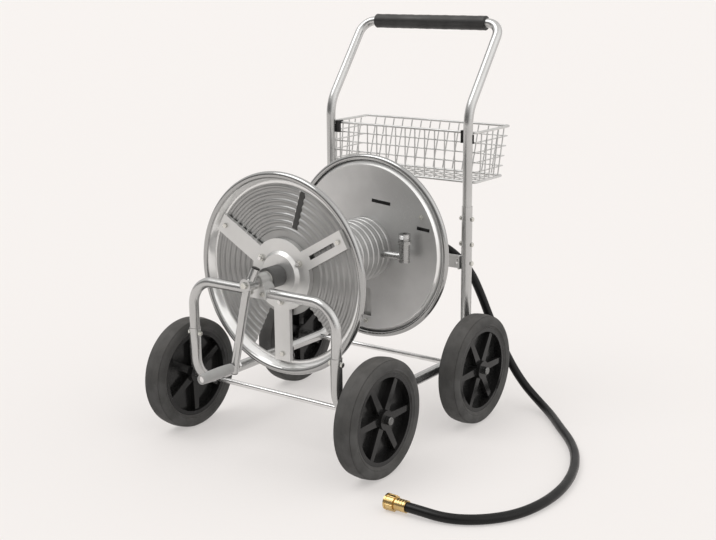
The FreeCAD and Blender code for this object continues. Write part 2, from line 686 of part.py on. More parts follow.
def spider_bolt_holes():
    """Cutters for the bolts at the ends of the spider arms."""
    radius = BOLT_RADIUS + HOLE_CLEARANCE
    points = [polar(SPIDER_BOLT_RADIUS, angle, 0) for angle in SPIDER_ARM_ANGLES_DEG]
    return [depth_hole(point.x, point.z, radius) for point in points]


def tie_rod_points(y):
    """Places of the tie rods."""
    return [polar(TIE_ROD_CIRCLE, angle, y) for angle in SPIDER_ARM_ANGLES_DEG]


def tie_rod_holes():
    """Cutters for the tie rods."""
    radius = TIE_ROD_RADIUS + HOLE_CLEARANCE
    return [depth_hole(point.x, point.z, radius) for point in tie_rod_points(0)]


def front_disc():
    """Ribbed disc behind the crank, with its radial strip and its low window."""
    plate = disc(FRONT_DISC_Y, -1, FRONT_DISC_RADIUS, rib_radii())
    cutters = [radial_slot(FRONT_DISC_Y, STRIP_INNER, STRIP_OUTER, STRIP_WIDTH, STRIP_ANGLE_DEG)]
    spare = math.degrees(math.asin((SPIDER_ARM_WIDTH / 2 + WINDOW_ARM_GAP) / WINDOW_OUTER))
    arm = SPIDER_ARM_ANGLES_DEG[2]
    cutters.append(sector_window(FRONT_DISC_Y, WINDOW_INNER, WINDOW_OUTER, WINDOW_FROM_DEG, arm - spare))
    cutters.append(sector_window(FRONT_DISC_Y, WINDOW_INNER, WINDOW_OUTER, arm + spare, WINDOW_TO_DEG))
    return plate.cut(cutters + spider_bolt_holes() + tie_rod_holes())


def level_slots(margin, low, high):
    """Bars in the rear disc's two slots, wider by a margin all round, between two levels on Y."""
    bars = []
    places = ((REAR_SLOT_RADIUS, REAR_SLOT_ANGLE_DEG, REAR_SLOT_LENGTH),
              (REAR_NOTCH_RADIUS, REAR_NOTCH_ANGLE_DEG, REAR_NOTCH_LENGTH))
    for radius, angle, length in places:
        middle = polar(radius, angle, 0)
        reach = V(length / 2 + margin, 0, REAR_SLOT_WIDTH / 2 + margin)
        bar = block(middle.sub(reach).add(V(0, low, 0)), middle.add(reach).add(V(0, high, 0)))
        bars.append(turned(bar, -REAR_SLOT_LEAN_DEG, middle, Y_AXIS))
    return bars


def rear_disc():
    """Plain disc on the handle's side, with its slots."""
    plate = disc(REAR_DISC_Y, 1, REAR_DISC_RADIUS, [])
    cutters = level_slots(0.0, REAR_DISC_Y - SPIDER_DEPTH, REAR_DISC_Y + SPIDER_DEPTH)
    cutters.append(radial_slot(REAR_DISC_Y, REAR_WINDOW_INNER, REAR_WINDOW_OUTER, REAR_WINDOW_WIDTH,
                               SPIDER_ARM_ANGLES_DEG[2]))
    return plate.cut(cutters + spider_bolt_holes() + tie_rod_holes())


def slot_grommets():
    """Plastic grommets that close the rear disc's slots, each with a flange on the disc's outer face."""
    seat = REAR_DISC_Y + DISC_SHEET + SEAT_GAP
    plugs = level_slots(-SEAT_GAP, REAR_DISC_Y - SEAT_GAP, seat + GROMMET_FLANGE)
    flanges = level_slots(GROMMET_LIP, seat, seat + GROMMET_FLANGE)
    return Part.makeCompound([joined([plug, flange]) for plug, flange in zip(plugs, flanges)])


def spider(y, outward):
    """Three pressed channel arms round a stepped hub cup, on the outer face of a disc."""
    sheet = SPIDER_SHEET
    axis = V(0, outward, 0)
    foot = DISC_SHEET + SEAT_GAP
    arm_foot = DISC_SHEET + RIB_HEIGHT + SEAT_GAP

    def level(rise):
        return V(0, y + outward * rise, REEL_AXIS_Z)

    def slab(inner, outer, half_low, half_high, low, high):
        first = level(low)
        second = level(high)
        bottom = V(inner, min(first.y, second.y), REEL_AXIS_Z + half_low)
        top = V(outer, max(first.y, second.y), REEL_AXIS_Z + half_high)
        return block(bottom, top)

    half = SPIDER_ARM_WIDTH / 2
    root = SPIDER_HUB_RADIUS - 2 * sheet
    roof = slab(root, SPIDER_ARM_REACH, -half, half, SPIDER_DEPTH - sheet, SPIDER_DEPTH)
    edges = (-half, half - sheet)
    walls = [slab(root, SPIDER_ARM_REACH, edge, edge + sheet, arm_foot, SPIDER_DEPTH) for edge in edges]
    end = slab(SPIDER_ARM_REACH - sheet, SPIDER_ARM_REACH, -half, half, arm_foot, SPIDER_DEPTH)
    arm = joined([roof, end] + walls)
    cup = rod(level(foot), axis, SPIDER_HUB_RADIUS, SPIDER_DEPTH - foot)
    cup_depth = SPIDER_DEPTH - foot - sheet
    cup = cup.cut(rod(level(foot - OVERCUT), axis, SPIDER_HUB_RADIUS - sheet, cup_depth + OVERCUT))
    step = SPIDER_BOSS_DEPTH - SPIDER_DEPTH
    wide = SPIDER_BOSS_RADIUS + step
    under_roof = level(SPIDER_DEPTH - sheet)
    boss = Part.makeCone(wide, SPIDER_BOSS_RADIUS, step + sheet, under_roof, axis)
    hollow = Part.makeCone(wide - sheet, SPIDER_BOSS_RADIUS - sheet, step, under_roof, axis)
    neck = rod(level(foot), axis, REEL_AXLE_RADIUS + 2 * sheet, SPIDER_BOSS_DEPTH - foot)
    arms = [reel_turned(arm, angle) for angle in SPIDER_ARM_ANGLES_DEG]
    body = joined([cup, boss] + arms)
    body = body.cut(hollow).fuse(neck)
    slot = slab(ARM_SLOT_RADIUS - ARM_SLOT_LENGTH / 2, ARM_SLOT_RADIUS + ARM_SLOT_LENGTH / 2,
                -ARM_SLOT_WIDTH / 2, ARM_SLOT_WIDTH / 2, SPIDER_DEPTH - 2 * sheet, SPIDER_DEPTH + sheet)
    cutters = [reel_turned(slot, SPIDER_ARM_ANGLES_DEG[0])]
    cutters.append(depth_hole(0, REEL_AXIS_Z, REEL_AXLE_RADIUS + SEAT_GAP))
    return body.cut(cutters + spider_bolt_holes() + tie_rod_holes())


def drum():
    """Sheet drum between the discs, stiffened by rolled rings."""
    start = FRONT_DISC_Y + SEAT_GAP
    end = REAR_DISC_Y - SEAT_GAP
    step = (end - start) / DRUM_RING_COUNT

    def face_edges(radius):
        edges = []
        here = V(radius, start, REEL_AXIS_Z)
        for index in range(DRUM_RING_COUNT):
            middle = start + step * (index + 0.5)
            enter = V(radius, middle - DRUM_RING_HALF_WIDTH, REEL_AXIS_Z)
            leave = V(radius, middle + DRUM_RING_HALF_WIDTH, REEL_AXIS_Z)
            crest = V(radius + DRUM_RING_HEIGHT, middle, REEL_AXIS_Z)
            edges += [line(here, enter), arc(enter, crest, leave)]
            here = leave
        edges.append(line(here, V(radius, end, REEL_AXIS_Z)))
        return edges

    outer = DRUM_RADIUS - DRUM_RING_HEIGHT
    inner = outer - DRUM_SHEET
    edges = face_edges(outer) + face_edges(inner)
    edges.append(line(V(outer, start, REEL_AXIS_Z), V(inner, start, REEL_AXIS_Z)))
    edges.append(line(V(outer, end, REEL_AXIS_Z), V(inner, end, REEL_AXIS_Z)))
    shell = turned_profile(Part.__sortEdges__(edges), V(0, 0, REEL_AXIS_Z), Y_AXIS)
    hole = rod(V(0, OUTLET_Y, REEL_AXIS_Z), X_AXIS, OUTLET_PIPE_RADIUS + HOLE_CLEARANCE, 2 * DRUM_RADIUS)
    return shell.cut(hole)


def reel_axle():
    """Turned axle: a slim front journal, a thick body, and a water bore from its rear end."""
    front = V(0, REEL_AXLE_FRONT_Y, REEL_AXIS_Z)
    journal = rod(front, Y_AXIS, REEL_JOURNAL_RADIUS, FRONT_BOSS_Y - REEL_AXLE_FRONT_Y)
    body = rod(V(0, FRONT_BOSS_Y, REEL_AXIS_Z), Y_AXIS, REEL_AXLE_RADIUS, REEL_AXLE_REAR_Y - FRONT_BOSS_Y)
    axle = journal.fuse(body)
    bore_start = REEL_AXLE_REAR_Y - REEL_AXLE_BORE_DEPTH
    bore = rod(V(0, bore_start, REEL_AXIS_Z), Y_AXIS, REEL_AXLE_BORE, REEL_AXLE_BORE_DEPTH + OVERCUT)
    port = rod(V(0, OUTLET_Y, REEL_AXIS_Z), X_AXIS, OUTLET_PIPE_BORE, 2 * REEL_AXLE_RADIUS)
    tapped_depth = CRANK_BOLT_DEPTH + CRANK_BOLT_SPARE
    tapped_start = front.sub(V(0, OVERCUT, 0))
    tapped = rod(tapped_start, Y_AXIS, CRANK_PIN_RADIUS + RUNNING_CLEARANCE, tapped_depth + OVERCUT)
    return axle.cut([bore, port, tapped])


def sleeve(start, end, inner):
    """Spacer tube on the reel axle between a spider and a bearing."""
    return ring(V(0, start, REEL_AXIS_Z), Y_AXIS, SLEEVE_RADIUS, inner, end - start)


def tie_rods():
    """Rods through the drum that clamp both spiders and discs to it, with a nut at each end."""
    front = FRONT_DISC_Y - SPIDER_DEPTH
    back = REAR_DISC_Y + SPIDER_DEPTH
    proud = NUT_HEIGHT + TIE_ROD_RADIUS
    rods = []
    nuts = []
    for place in tie_rod_points(0):
        start = V(place.x, front - proud, place.z)
        rods.append(rod(start, Y_AXIS, TIE_ROD_RADIUS, back - front + 2 * proud))
        for seat, direction in ((front - SEAT_GAP, V(0, -1, 0)), (back + SEAT_GAP, Y_AXIS)):
            nut = hexagon_bar(V(place.x, seat, place.z), direction, TIE_ROD_NUT_RADIUS, NUT_HEIGHT)
            nuts.append(nut.cut(depth_hole(place.x, place.z, TIE_ROD_RADIUS + RUNNING_CLEARANCE)))
    return Part.makeCompound(rods), Part.makeCompound(nuts)


def spider_fasteners():
    """Bolts and nuts that hold the ends of the spider arms to the discs."""
    bolts = []
    nuts = []
    for y, outward in ((FRONT_DISC_Y, -1), (REAR_DISC_Y, 1)):
        for angle in SPIDER_ARM_ANGLES_DEG:
            seat = polar(SPIDER_BOLT_RADIUS, angle, y + outward * SPIDER_DEPTH)
            bolt, nut = bolt_and_nut(seat, V(0, -outward, 0), SPIDER_DEPTH)
            bolts.append(bolt)
            nuts.append(nut)
    return Part.makeCompound(bolts), Part.makeCompound(nuts)


def outlet_pipe():
    """Short pipe from the axle's side port through the drum wall."""
    end = OUTLET_ELBOW_X - OUTLET_BODY_RADIUS - SEAT_GAP
    start = V(0, OUTLET_Y, REEL_AXIS_Z)
    pipe = ring(start, X_AXIS, OUTLET_PIPE_RADIUS, OUTLET_PIPE_BORE, end)
    return pipe.cut(depth_hole(0, REEL_AXIS_Z, REEL_AXLE_RADIUS + SEAT_GAP))


def outlet_elbow():
    """Elbow outside the drum, with a male hose thread that points up."""
    middle = V(OUTLET_ELBOW_X, OUTLET_Y, REEL_AXIS_Z)
    low = middle.sub(V(0, 0, OUTLET_BODY_RADIUS))
    neck = OUTLET_HEIGHT - HOSE_THREAD_LENGTH
    body = rod(low, Z_AXIS, OUTLET_BODY_RADIUS, neck + OUTLET_BODY_RADIUS)
    nose = rod(middle.sub(V(OUTLET_BODY_RADIUS, 0, 0)), X_AXIS, OUTLET_NOSE_RADIUS, OUTLET_BODY_RADIUS)
    collar_start = middle.add(V(0, 0, neck - OUTLET_COLLAR_SET))
    collar = hexagon_bar(collar_start, Z_AXIS, OUTLET_COLLAR_RADIUS, OUTLET_COLLAR_LENGTH)
    thread = rod(middle.add(V(0, 0, neck)), Z_AXIS, HOSE_THREAD_RADIUS, HOSE_THREAD_LENGTH)
    elbow = joined([body, nose, collar, thread])
    bore = rod(middle, Z_AXIS, OUTLET_PIPE_BORE, OUTLET_HEIGHT + OVERCUT)
    side = rod(middle.sub(V(2 * OUTLET_BODY_RADIUS, 0, 0)), X_AXIS, OUTLET_PIPE_BORE, 2 * OUTLET_BODY_RADIUS)
    return elbow.cut([bore, side])


# Bearings
def front_saddle():
    """Bearing saddle that sits on the hoop's bar and is bolted through it."""
    half = SADDLE_HALF_WIDTH
    depth = SADDLE_BACK_Y - SADDLE_FRONT_Y
    low = HOOP_BAR_Z - UPPER_TUBE_OD / 2
    base = block(V(-half, SADDLE_FRONT_Y, low), V(half, SADDLE_BACK_Y, REEL_AXIS_Z))
    cap = rod(V(0, SADDLE_FRONT_Y, REEL_AXIS_Z), Y_AXIS, BEARING_CAP_RADIUS, depth)
    taper = [V(-half, SADDLE_FRONT_Y, REEL_AXIS_Z), V(-BEARING_CAP_RADIUS, SADDLE_FRONT_Y, REEL_AXIS_Z),
             V(-half, SADDLE_FRONT_Y, HOOP_BAR_Z + UPPER_TUBE_OD / 2)]
    corner = Part.Face(Part.makePolygon(taper + taper[:1])).extrude(V(0, depth, 0))
    body = base.cut([corner, mirrored(corner)]).fuse(cap)
    seat = UPPER_TUBE_OD / 2 + PIPE_CLEARANCE
    cutters = [cross_hole(0, HOOP_Y, HOOP_BAR_Z, seat)]
    cutters.append(block(V(-half - OVERCUT, HOOP_Y - seat, low - OVERCUT),
                         V(half + OVERCUT, HOOP_Y + seat, HOOP_BAR_Z)))
    cutters.append(depth_hole(0, REEL_AXIS_Z, REEL_JOURNAL_RADIUS + BUSH_WALL + RUNNING_CLEARANCE))
    bolt_hole = BOLT_RADIUS + HOLE_CLEARANCE
    cutters += [depth_hole(x, HOOP_BAR_Z, bolt_hole) for x in (-SADDLE_BOLT_X, SADDLE_BOLT_X)]
    return body.cut(cutters)


def rear_block():
    """Bearing block on the front face of the crossbar."""
    half = SADDLE_HALF_WIDTH
    start = REAR_BLOCK_FRONT_Y
    end = CROSSBAR_FRONT_Y - SEAT_GAP
    cap_radius = BEARING_CAP_RADIUS + REEL_AXLE_RADIUS - REEL_JOURNAL_RADIUS
    base = block(V(-half, start, CROSSBAR_Z - CROSSBAR_HEIGHT / 2), V(half, end, REEL_AXIS_Z))
    cap = rod(V(0, start, REEL_AXIS_Z), Y_AXIS, cap_radius, end - start)
    bore = depth_hole(0, REEL_AXIS_Z, REEL_AXLE_RADIUS + BUSH_WALL + RUNNING_CLEARANCE)
    return base.fuse(cap).cut([bore] + block_bolt_holes(BOLT_RADIUS + HOLE_CLEARANCE))


def bush(shaft_radius, seat_y, end_y, flange_y):
    """Flanged plastic bush between a bearing and the reel axle; the flange lies before flange_y."""
    low = min(seat_y, end_y)
    barrel = rod(V(0, low, REEL_AXIS_Z), Y_AXIS, shaft_radius + BUSH_WALL, abs(end_y - seat_y))
    outward = 1 if flange_y > seat_y else -1
    face = V(0, seat_y, REEL_AXIS_Z)
    flange = rod(face, V(0, outward, 0), BUSH_FLANGE_RADIUS, abs(flange_y - seat_y))
    return barrel.fuse(flange).cut(depth_hole(0, REEL_AXIS_Z, shaft_radius + RUNNING_CLEARANCE))


def bearing_fasteners():
    """Bolts and nuts of the front saddle and of the rear block."""
    pairs = []
    for x in (-SADDLE_BOLT_X, SADDLE_BOLT_X):
        seat = V(x, SADDLE_FRONT_Y, HOOP_BAR_Z)
        pairs.append(bolt_and_nut(seat, Y_AXIS, SADDLE_BACK_Y - SADDLE_FRONT_Y))
    for x in (-REAR_BLOCK_BOLT_X, REAR_BLOCK_BOLT_X):
        seat = V(x, REAR_BLOCK_FRONT_Y, CROSSBAR_Z)
        pairs.append(bolt_and_nut(seat, Y_AXIS, CROSSBAR_BACK_Y - REAR_BLOCK_FRONT_Y))
    return pairs


# Crank
def crank_points():
    """Tail, bend and foot of the crank's tube."""
    lean = math.radians(CRANK_LEAN_DEG)
    down = V(-math.sin(lean), 0, -math.cos(lean))
    axle = V(0, CRANK_Y, REEL_AXIS_Z)
    tail = axle.add(V(CRANK_TAIL_SIDE, CRANK_TAIL_SET, CRANK_TAIL_RISE))
    bend = axle.add(V(down).multiply(CRANK_BEND_DROP))
    foot = axle.add(V(down).multiply(CRANK_ARM_LENGTH + CRANK_FOOT))
    return tail, bend, foot


def crank_arm():
    """Bent crank tube with the boss that takes the axle's end."""
    path = rounded_path(list(crank_points()), [CRANK_BEND_RADIUS])
    tube = swept_rod(path, CRANK_RADIUS)
    hollow = swept_rod(path, CRANK_RADIUS - CRANK_TUBE_WALL)
    front = V(0, CRANK_Y - CRANK_BOSS_FRONT, REEL_AXIS_Z)
    boss = rod(front, Y_AXIS, CRANK_BOSS_RADIUS, CRANK_BOSS_FRONT + CRANK_BOSS_BACK)
    arm = tube.cut(hollow).fuse(boss)
    socket_length = CRANK_Y + CRANK_BOSS_BACK - REEL_AXLE_FRONT_Y + 2 * SEAT_GAP
    socket_start = V(0, REEL_AXLE_FRONT_Y - SEAT_GAP, REEL_AXIS_Z)
    socket = rod(socket_start, Y_AXIS, REEL_JOURNAL_RADIUS + PIPE_CLEARANCE, socket_length)
    bolt_hole = depth_hole(0, REEL_AXIS_Z, CRANK_PIN_RADIUS + HOLE_CLEARANCE)
    pin_hole = depth_hole(CRANK_END_X, CRANK_END_Z, CRANK_PIN_RADIUS + HOLE_CLEARANCE)
    return arm.cut([socket, bolt_hole, pin_hole])


def crank_plugs():
    """Domed plugs in both ends of the crank's tube."""
    tail, bend, foot = crank_points()
    plugs = []
    for end, inside in ((tail, bend), (foot, bend)):
        outward = end.sub(inside).normalize()
        radius = CRANK_RADIUS - CRANK_TUBE_WALL - PIPE_CLEARANCE
        stem = rod(end.sub(V(outward).multiply(PLUG_STEM)), outward, radius, PLUG_STEM + SEAT_GAP)
        head = rod(end.add(V(outward).multiply(SEAT_GAP)), outward, CRANK_RADIUS, PLUG_CROWN)
        crown = head.makeFillet(PLUG_CROWN_FILLET, [outer_edge(head, outward)])
        plugs.append(stem.fuse(crown))
    return Part.makeCompound(plugs)


def crank_bolt():
    """Bolt from the front of the boss into the axle's end."""
    seat = V(0, CRANK_Y - CRANK_BOSS_FRONT - SEAT_GAP, REEL_AXIS_Z)
    head = hexagon_bar(seat, V(0, -1, 0), CRANK_HEX_RADIUS, CRANK_BOLT_HEAD)
    return head.fuse(rod(seat, Y_AXIS, CRANK_PIN_RADIUS, REEL_AXLE_FRONT_Y + CRANK_BOLT_DEPTH - seat.y))


def crank_pin():
    """Pin through the crank's foot on which the grip turns, with its collar, head and nut."""
    x, z = CRANK_END_X, CRANK_END_Z
    back = CRANK_Y + CRANK_RADIUS + SEAT_GAP
    head_y = CRANK_GRIP_FRONT_Y + CRANK_PIN_SET
    shank = rod(V(x, head_y, z), Y_AXIS, CRANK_PIN_RADIUS, back + NUT_HEIGHT - head_y)
    head = rod(V(x, head_y, z), Y_AXIS, CRANK_PIN_HEAD_RADIUS, CRANK_PIN_HEAD)
    collar = rod(V(x, CRANK_FRONT_Y - SIDE_PLAY, z), V(0, -1, 0), 2 * CRANK_PIN_RADIUS, CRANK_WASHER)
    nut = hexagon_bar(V(x, back, z), Y_AXIS, CRANK_HEX_RADIUS, NUT_HEIGHT)
    return joined([shank, head, collar, nut])


def crank_grip():
    """Barrel-shaped plastic grip that turns on the crank pin."""
    back = CRANK_GRIP_BACK_Y
    front = CRANK_GRIP_FRONT_Y
    middle = (back + front) / 2
    end_radius = CRANK_GRIP_RADIUS * CRANK_GRIP_END_SHARE
    edges = [line(V(0, back, 0), V(end_radius, back, 0))]
    edges.append(arc(V(end_radius, back, 0), V(CRANK_GRIP_RADIUS, middle, 0), V(end_radius, front, 0)))
    edges += [line(V(end_radius, front, 0), V(0, front, 0)), line(V(0, front, 0), V(0, back, 0))]
    grip = turned_profile(edges, V(0, 0, 0), Y_AXIS)
    grip.translate(V(CRANK_END_X, 0, CRANK_END_Z))
    bore = depth_hole(CRANK_END_X, CRANK_END_Z, CRANK_PIN_RADIUS + RUNNING_CLEARANCE)
    depth = CRANK_PIN_SET + CRANK_PIN_HEAD + SIDE_PLAY
    mouth = V(CRANK_END_X, front - OVERCUT, CRANK_END_Z)
    recess = rod(mouth, Y_AXIS, CRANK_PIN_HEAD_RADIUS + SIDE_PLAY, depth + OVERCUT)
    return grip.cut([bore, recess])


# Basket
def spaced(count, low, high):
    """Evenly spaced places from low to high."""
    return [low + (high - low) * index / (count - 1) for index in range(count)]


def wire(start, end, radius):
    """Straight wire between two points."""
    along = end.sub(start)
    return rod(start, along, radius, along.Length)


def basket_rim():
    """Thick wire round the basket's mouth."""
    x = BASKET_HALF_WIDTH
    z = BASKET_TOP_Z
    front, back = BASKET_FRONT_Y, BASKET_BACK_Y
    middle = V(0, front, z)
    corners = [V(-x, front, z), V(-x, back, z), V(x, back, z), V(x, front, z)]
    path = rounded_path([middle] + corners + [middle], [BASKET_CORNER_RADIUS] * 4)
    return swept_rod(path, RIM_WIRE / 2)


def basket_slope(z):
    """Depth of the basket's back at a height."""
    share = (z - BASKET_FLOOR_Z) / BASKET_HEIGHT
    return BASKET_FLOOR_BACK_Y + share * (BASKET_BACK_Y - BASKET_FLOOR_BACK_Y)


def basket_uprights():
    """Places of the upright wires across the basket, all between the clips on the legs."""
    clip = UPPER_TUBE_OD / 2 + PIPE_CLEARANCE + CLIP_WALL
    edge = FRAME_HALF_WIDTH - clip - BASKET_WIRE
    return spaced(BASKET_UPRIGHTS, -edge, edge)


def basket_rows():
    """Heights of the level wires in the basket's walls."""
    step = BASKET_HEIGHT / (BASKET_ROWS + 1)
    return [BASKET_FLOOR_Z + step * (index + 1) for index in range(BASKET_ROWS)]


def basket_walls():
    """Front, back, right and floor panels of welded wire."""
    r = BASKET_WIRE / 2
    lap = WIRE_LAP * BASKET_WIRE
    top = BASKET_TOP_Z - RIM_WIRE / 2 - SEAT_GAP
    low = BASKET_FLOOR_Z + RIM_WIRE / 2 + SEAT_GAP
    tilt = r * (BASKET_DEPTH_TOP - BASKET_DEPTH_FLOOR) / BASKET_HEIGHT
    half = BASKET_HALF_WIDTH
    reach = half - lap - r - SIDE_PLAY
    across = basket_uprights()
    rows = basket_rows()
    level = BASKET_FRONT_Y + lap
    front = [wire(V(x, BASKET_FRONT_Y, low), V(x, BASKET_FRONT_Y, top), r) for x in across]
    front += [wire(V(-reach, level, z), V(reach, level, z), r) for z in rows]
    foot, head = low + tilt, top - tilt
    back = [wire(V(x, basket_slope(foot), foot), V(x, basket_slope(head), head), r) for x in across]
    back += [wire(V(-reach, basket_slope(z) - lap, z), V(reach, basket_slope(z) - lap, z), r) for z in rows]
    side = []
    for share in spaced(BASKET_SIDE_UPRIGHTS + 2, 0.0, 1.0)[1:-1]:
        start = V(half, BASKET_FRONT_Y + share * (basket_slope(foot) - BASKET_FRONT_Y), foot)
        end = V(half, BASKET_FRONT_Y + share * (basket_slope(head) - BASKET_FRONT_Y), head)
        side.append(wire(start, end, r))
    side += [wire(V(half - lap, level - r, z), V(half - lap, basket_slope(z) - lap + r, z), r) for z in rows]
    return joined(front), joined(back), joined(side)


def basket_floor():
    """Floor grid of welded wire inside a frame of thick wire."""
    r = BASKET_WIRE / 2
    x = BASKET_HALF_WIDTH
    z = BASKET_FLOOR_Z
    front, back = BASKET_FRONT_Y, BASKET_FLOOR_BACK_Y
    middle = V(0, front, z)
    corners = [V(-x, front, z), V(-x, back, z), V(x, back, z), V(x, front, z)]
    frame = swept_rod(rounded_path([middle] + corners + [middle], [BASKET_CORNER_RADIUS] * 4), RIM_WIRE / 2)
    wires = [wire(V(place, front, z), V(place, back, z), r) for place in basket_uprights()]
    under = z - WIRE_LAP * BASKET_WIRE
    depths = spaced(BASKET_FLOOR_ROWS + 2, front, back)[1:-1]
    wires += [wire(V(-x, place, under), V(x, place, under), r) for place in depths]
    return joined([frame] + wires)


def basket_clip():
    """Plastic clip pegged to the back of the right leg, with a hook over the basket's rim wire."""
    x = FRAME_HALF_WIDTH
    inner = UPPER_TUBE_OD / 2 + PIPE_CLEARANCE
    outer = inner + CLIP_WALL
    low = CLIP_TOP_Z - CLIP_HEIGHT
    front = REAR_LEG_Y + CLIP_SET
    back_half = block(V(x - outer, front, low), V(x + outer, REAR_LEG_Y + outer, CLIP_TOP_Z))
    saddle = ring(V(x, REAR_LEG_Y, low), Z_AXIS, outer, inner, CLIP_HEIGHT).common(back_half)
    peg_start = V(x, REAR_LEG_Y + inner + CLIP_WALL / 2, CLIP_PEG_Z)
    peg = rod(peg_start, V(0, -1, 0), CLIP_PEG_RADIUS, CLIP_WALL / 2 + PIPE_CLEARANCE + CLIP_PEG_REACH)
    tab_outer = x - inner - SEAT_GAP
    tab_inner = tab_outer - CLIP_HOOK_WIDTH
    crown = BASKET_TOP_Z + RIM_WIRE / 2 + CLIP_WALL
    tab = block(V(tab_inner, front, low), V(tab_outer, REAR_LEG_Y + inner, crown))
    hook = block(V(tab_inner, front, CLIP_TOP_Z + 2 * SIDE_PLAY),
                 V(tab_outer, BASKET_FRONT_Y + RIM_WIRE / 2 + CLIP_WALL, crown))
    slot = cross_hole(0, BASKET_FRONT_Y, BASKET_TOP_Z, RIM_WIRE / 2 + PIPE_CLEARANCE)
    return joined([saddle, peg, tab, hook]).cut(slot)


# Water inlet and leader hose
def inlet_elbow():
    """Brass swivel elbow: a spigot in the axle's bore, a round body and a barb inside the hose."""
    middle = V(0, INLET_Y, REEL_AXIS_Z)
    radius = INLET_BODY_RADIUS
    body = rod(V(0, INLET_Y - radius, REEL_AXIS_Z), Y_AXIS, radius, 2 * radius)
    body = body.fuse(Part.makeSphere(radius, middle))
    spigot_radius = REEL_AXLE_BORE - RUNNING_CLEARANCE
    spigot_start = V(0, INLET_Y - radius - INLET_SPIGOT_LENGTH, REEL_AXIS_Z)
    spigot = rod(spigot_start, Y_AXIS, spigot_radius, INLET_SPIGOT_LENGTH + radius)
    branch = rod(middle, X_AXIS, INLET_BRANCH_RADIUS, INLET_REACH)
    collar_start = middle.add(V(INLET_REACH - INLET_COLLAR_LENGTH, 0, 0))
    collar = hexagon_bar(collar_start, X_AXIS, INLET_COLLAR_RADIUS, INLET_COLLAR_LENGTH)
    barb = rod(middle, X_AXIS, STEM_RADIUS, INLET_REACH + BARB_LENGTH)
    elbow = joined([body, spigot, branch, collar, barb])
    entry = spigot_start.sub(V(0, OVERCUT, 0))
    bores = [rod(entry, Y_AXIS, INLET_WATERWAY, INLET_SPIGOT_LENGTH + radius + OVERCUT)]
    bores.append(rod(middle, X_AXIS, INLET_WATERWAY, INLET_REACH + BARB_LENGTH + OVERCUT))
    return elbow.cut(bores + o_ring_grooves())


def o_ring_places():
    """Places of the two sealing rings along the spigot."""
    end = INLET_Y - INLET_BODY_RADIUS
    return [end - place for place in O_RING_SETS]


def o_ring_grooves():
    """Cutters for the grooves of the sealing rings."""
    outer = REEL_AXLE_BORE + OVERCUT
    inner = REEL_AXLE_BORE - O_RING_WIRE
    width = O_RING_WIRE + 2 * SEAT_GAP
    return [ring(V(0, y - width / 2, REEL_AXIS_Z), Y_AXIS, outer, inner, width) for y in o_ring_places()]


def o_rings():
    """Sealing rings in the spigot's grooves, just clear of the bore."""
    r = O_RING_WIRE / 2 - RUNNING_CLEARANCE
    middle = REEL_AXLE_BORE - RUNNING_CLEARANCE - r
    centres = [V(0, y, REEL_AXIS_Z) for y in o_ring_places()]
    return Part.makeCompound([Part.makeTorus(middle, r, centre, Y_AXIS) for centre in centres])


def ferrule(start, direction):
    """Crimped brass ring round an end of the hose."""
    inner = HOSE_OD / 2 + PIPE_CLEARANCE
    return ring(start, direction, inner + FERRULE_WALL, inner, FERRULE_LENGTH)


def hose_points():
    """Route of the hose in the construction frame, whose Y starts at the middle of the wheelbase."""
    start = V(INLET_REACH + SIDE_PLAY, INLET_Y, REEL_AXIS_Z)
    lead = start.add(V(HOSE_LEAD, 0, 0))
    return [start, lead] + [V(x, y + MIDDLE_Y, z) for x, y, z in HOSE_ROUTE]


def leader_hose():
    """Rubber hose along its route, with arcs as large as the runs allow."""
    points = hose_points()
    radii = []
    for before, corner, after in zip(points, points[1:], points[2:]):
        turn = corner.sub(before).getAngle(after.sub(corner))
        run = min(corner.sub(before).Length, after.sub(corner).Length)
        radii.append(ARC_SHARE * run / math.tan(turn / 2))
    path = rounded_path(points, radii)
    tube = swept_tube(path, HOSE_OD / 2, (HOSE_OD - HOSE_BORE) / 2)
    section = math.pi / 4 * (HOSE_OD ** 2 - HOSE_BORE ** 2)
    print("hose length", round(path.Length, 1), "least radius", round(min(radii), 1))
    print("hose radii", [round(radius) for radius in radii])
    print("hose volume over section times length", round(tube.Volume / (section * path.Length), 4))
    return tube


def coupling_tail():
    """Brass tail of the end coupling: crimped ring, barb in the hose and the collar that holds the nut."""
    end = hose_points()[-1]
    out = V(-1, 0, 0)
    inner = HOSE_OD / 2 + PIPE_CLEARANCE
    crimp = ferrule(end.add(V(FERRULE_LENGTH - SEAT_GAP, 0, 0)), out)
    shoulder = rod(end.add(V(-SEAT_GAP, 0, 0)), out, inner + FERRULE_WALL, TAIL_SHOULDER)
    neck_end = COLLAR_SET + COUPLING_COLLAR
    stem = rod(end.add(V(BARB_LENGTH, 0, 0)), out, STEM_RADIUS, BARB_LENGTH + neck_end)
    neck = rod(end.add(V(-SEAT_GAP, 0, 0)), out, STEM_RADIUS + NECK_WALL, neck_end - SEAT_GAP)
    collar_radius = COUPLING_THREAD_RADIUS - COUPLING_STEP - 2 * SIDE_PLAY
    collar = rod(end.add(V(-COLLAR_SET, 0, 0)), out, collar_radius, COUPLING_COLLAR)
    tail = joined([crimp, shoulder, stem, neck, collar])
    return tail.cut(rod(end.add(V(BARB_LENGTH + OVERCUT, 0, 0)), out, STEM_RADIUS - NECK_WALL, CUT_LENGTH))


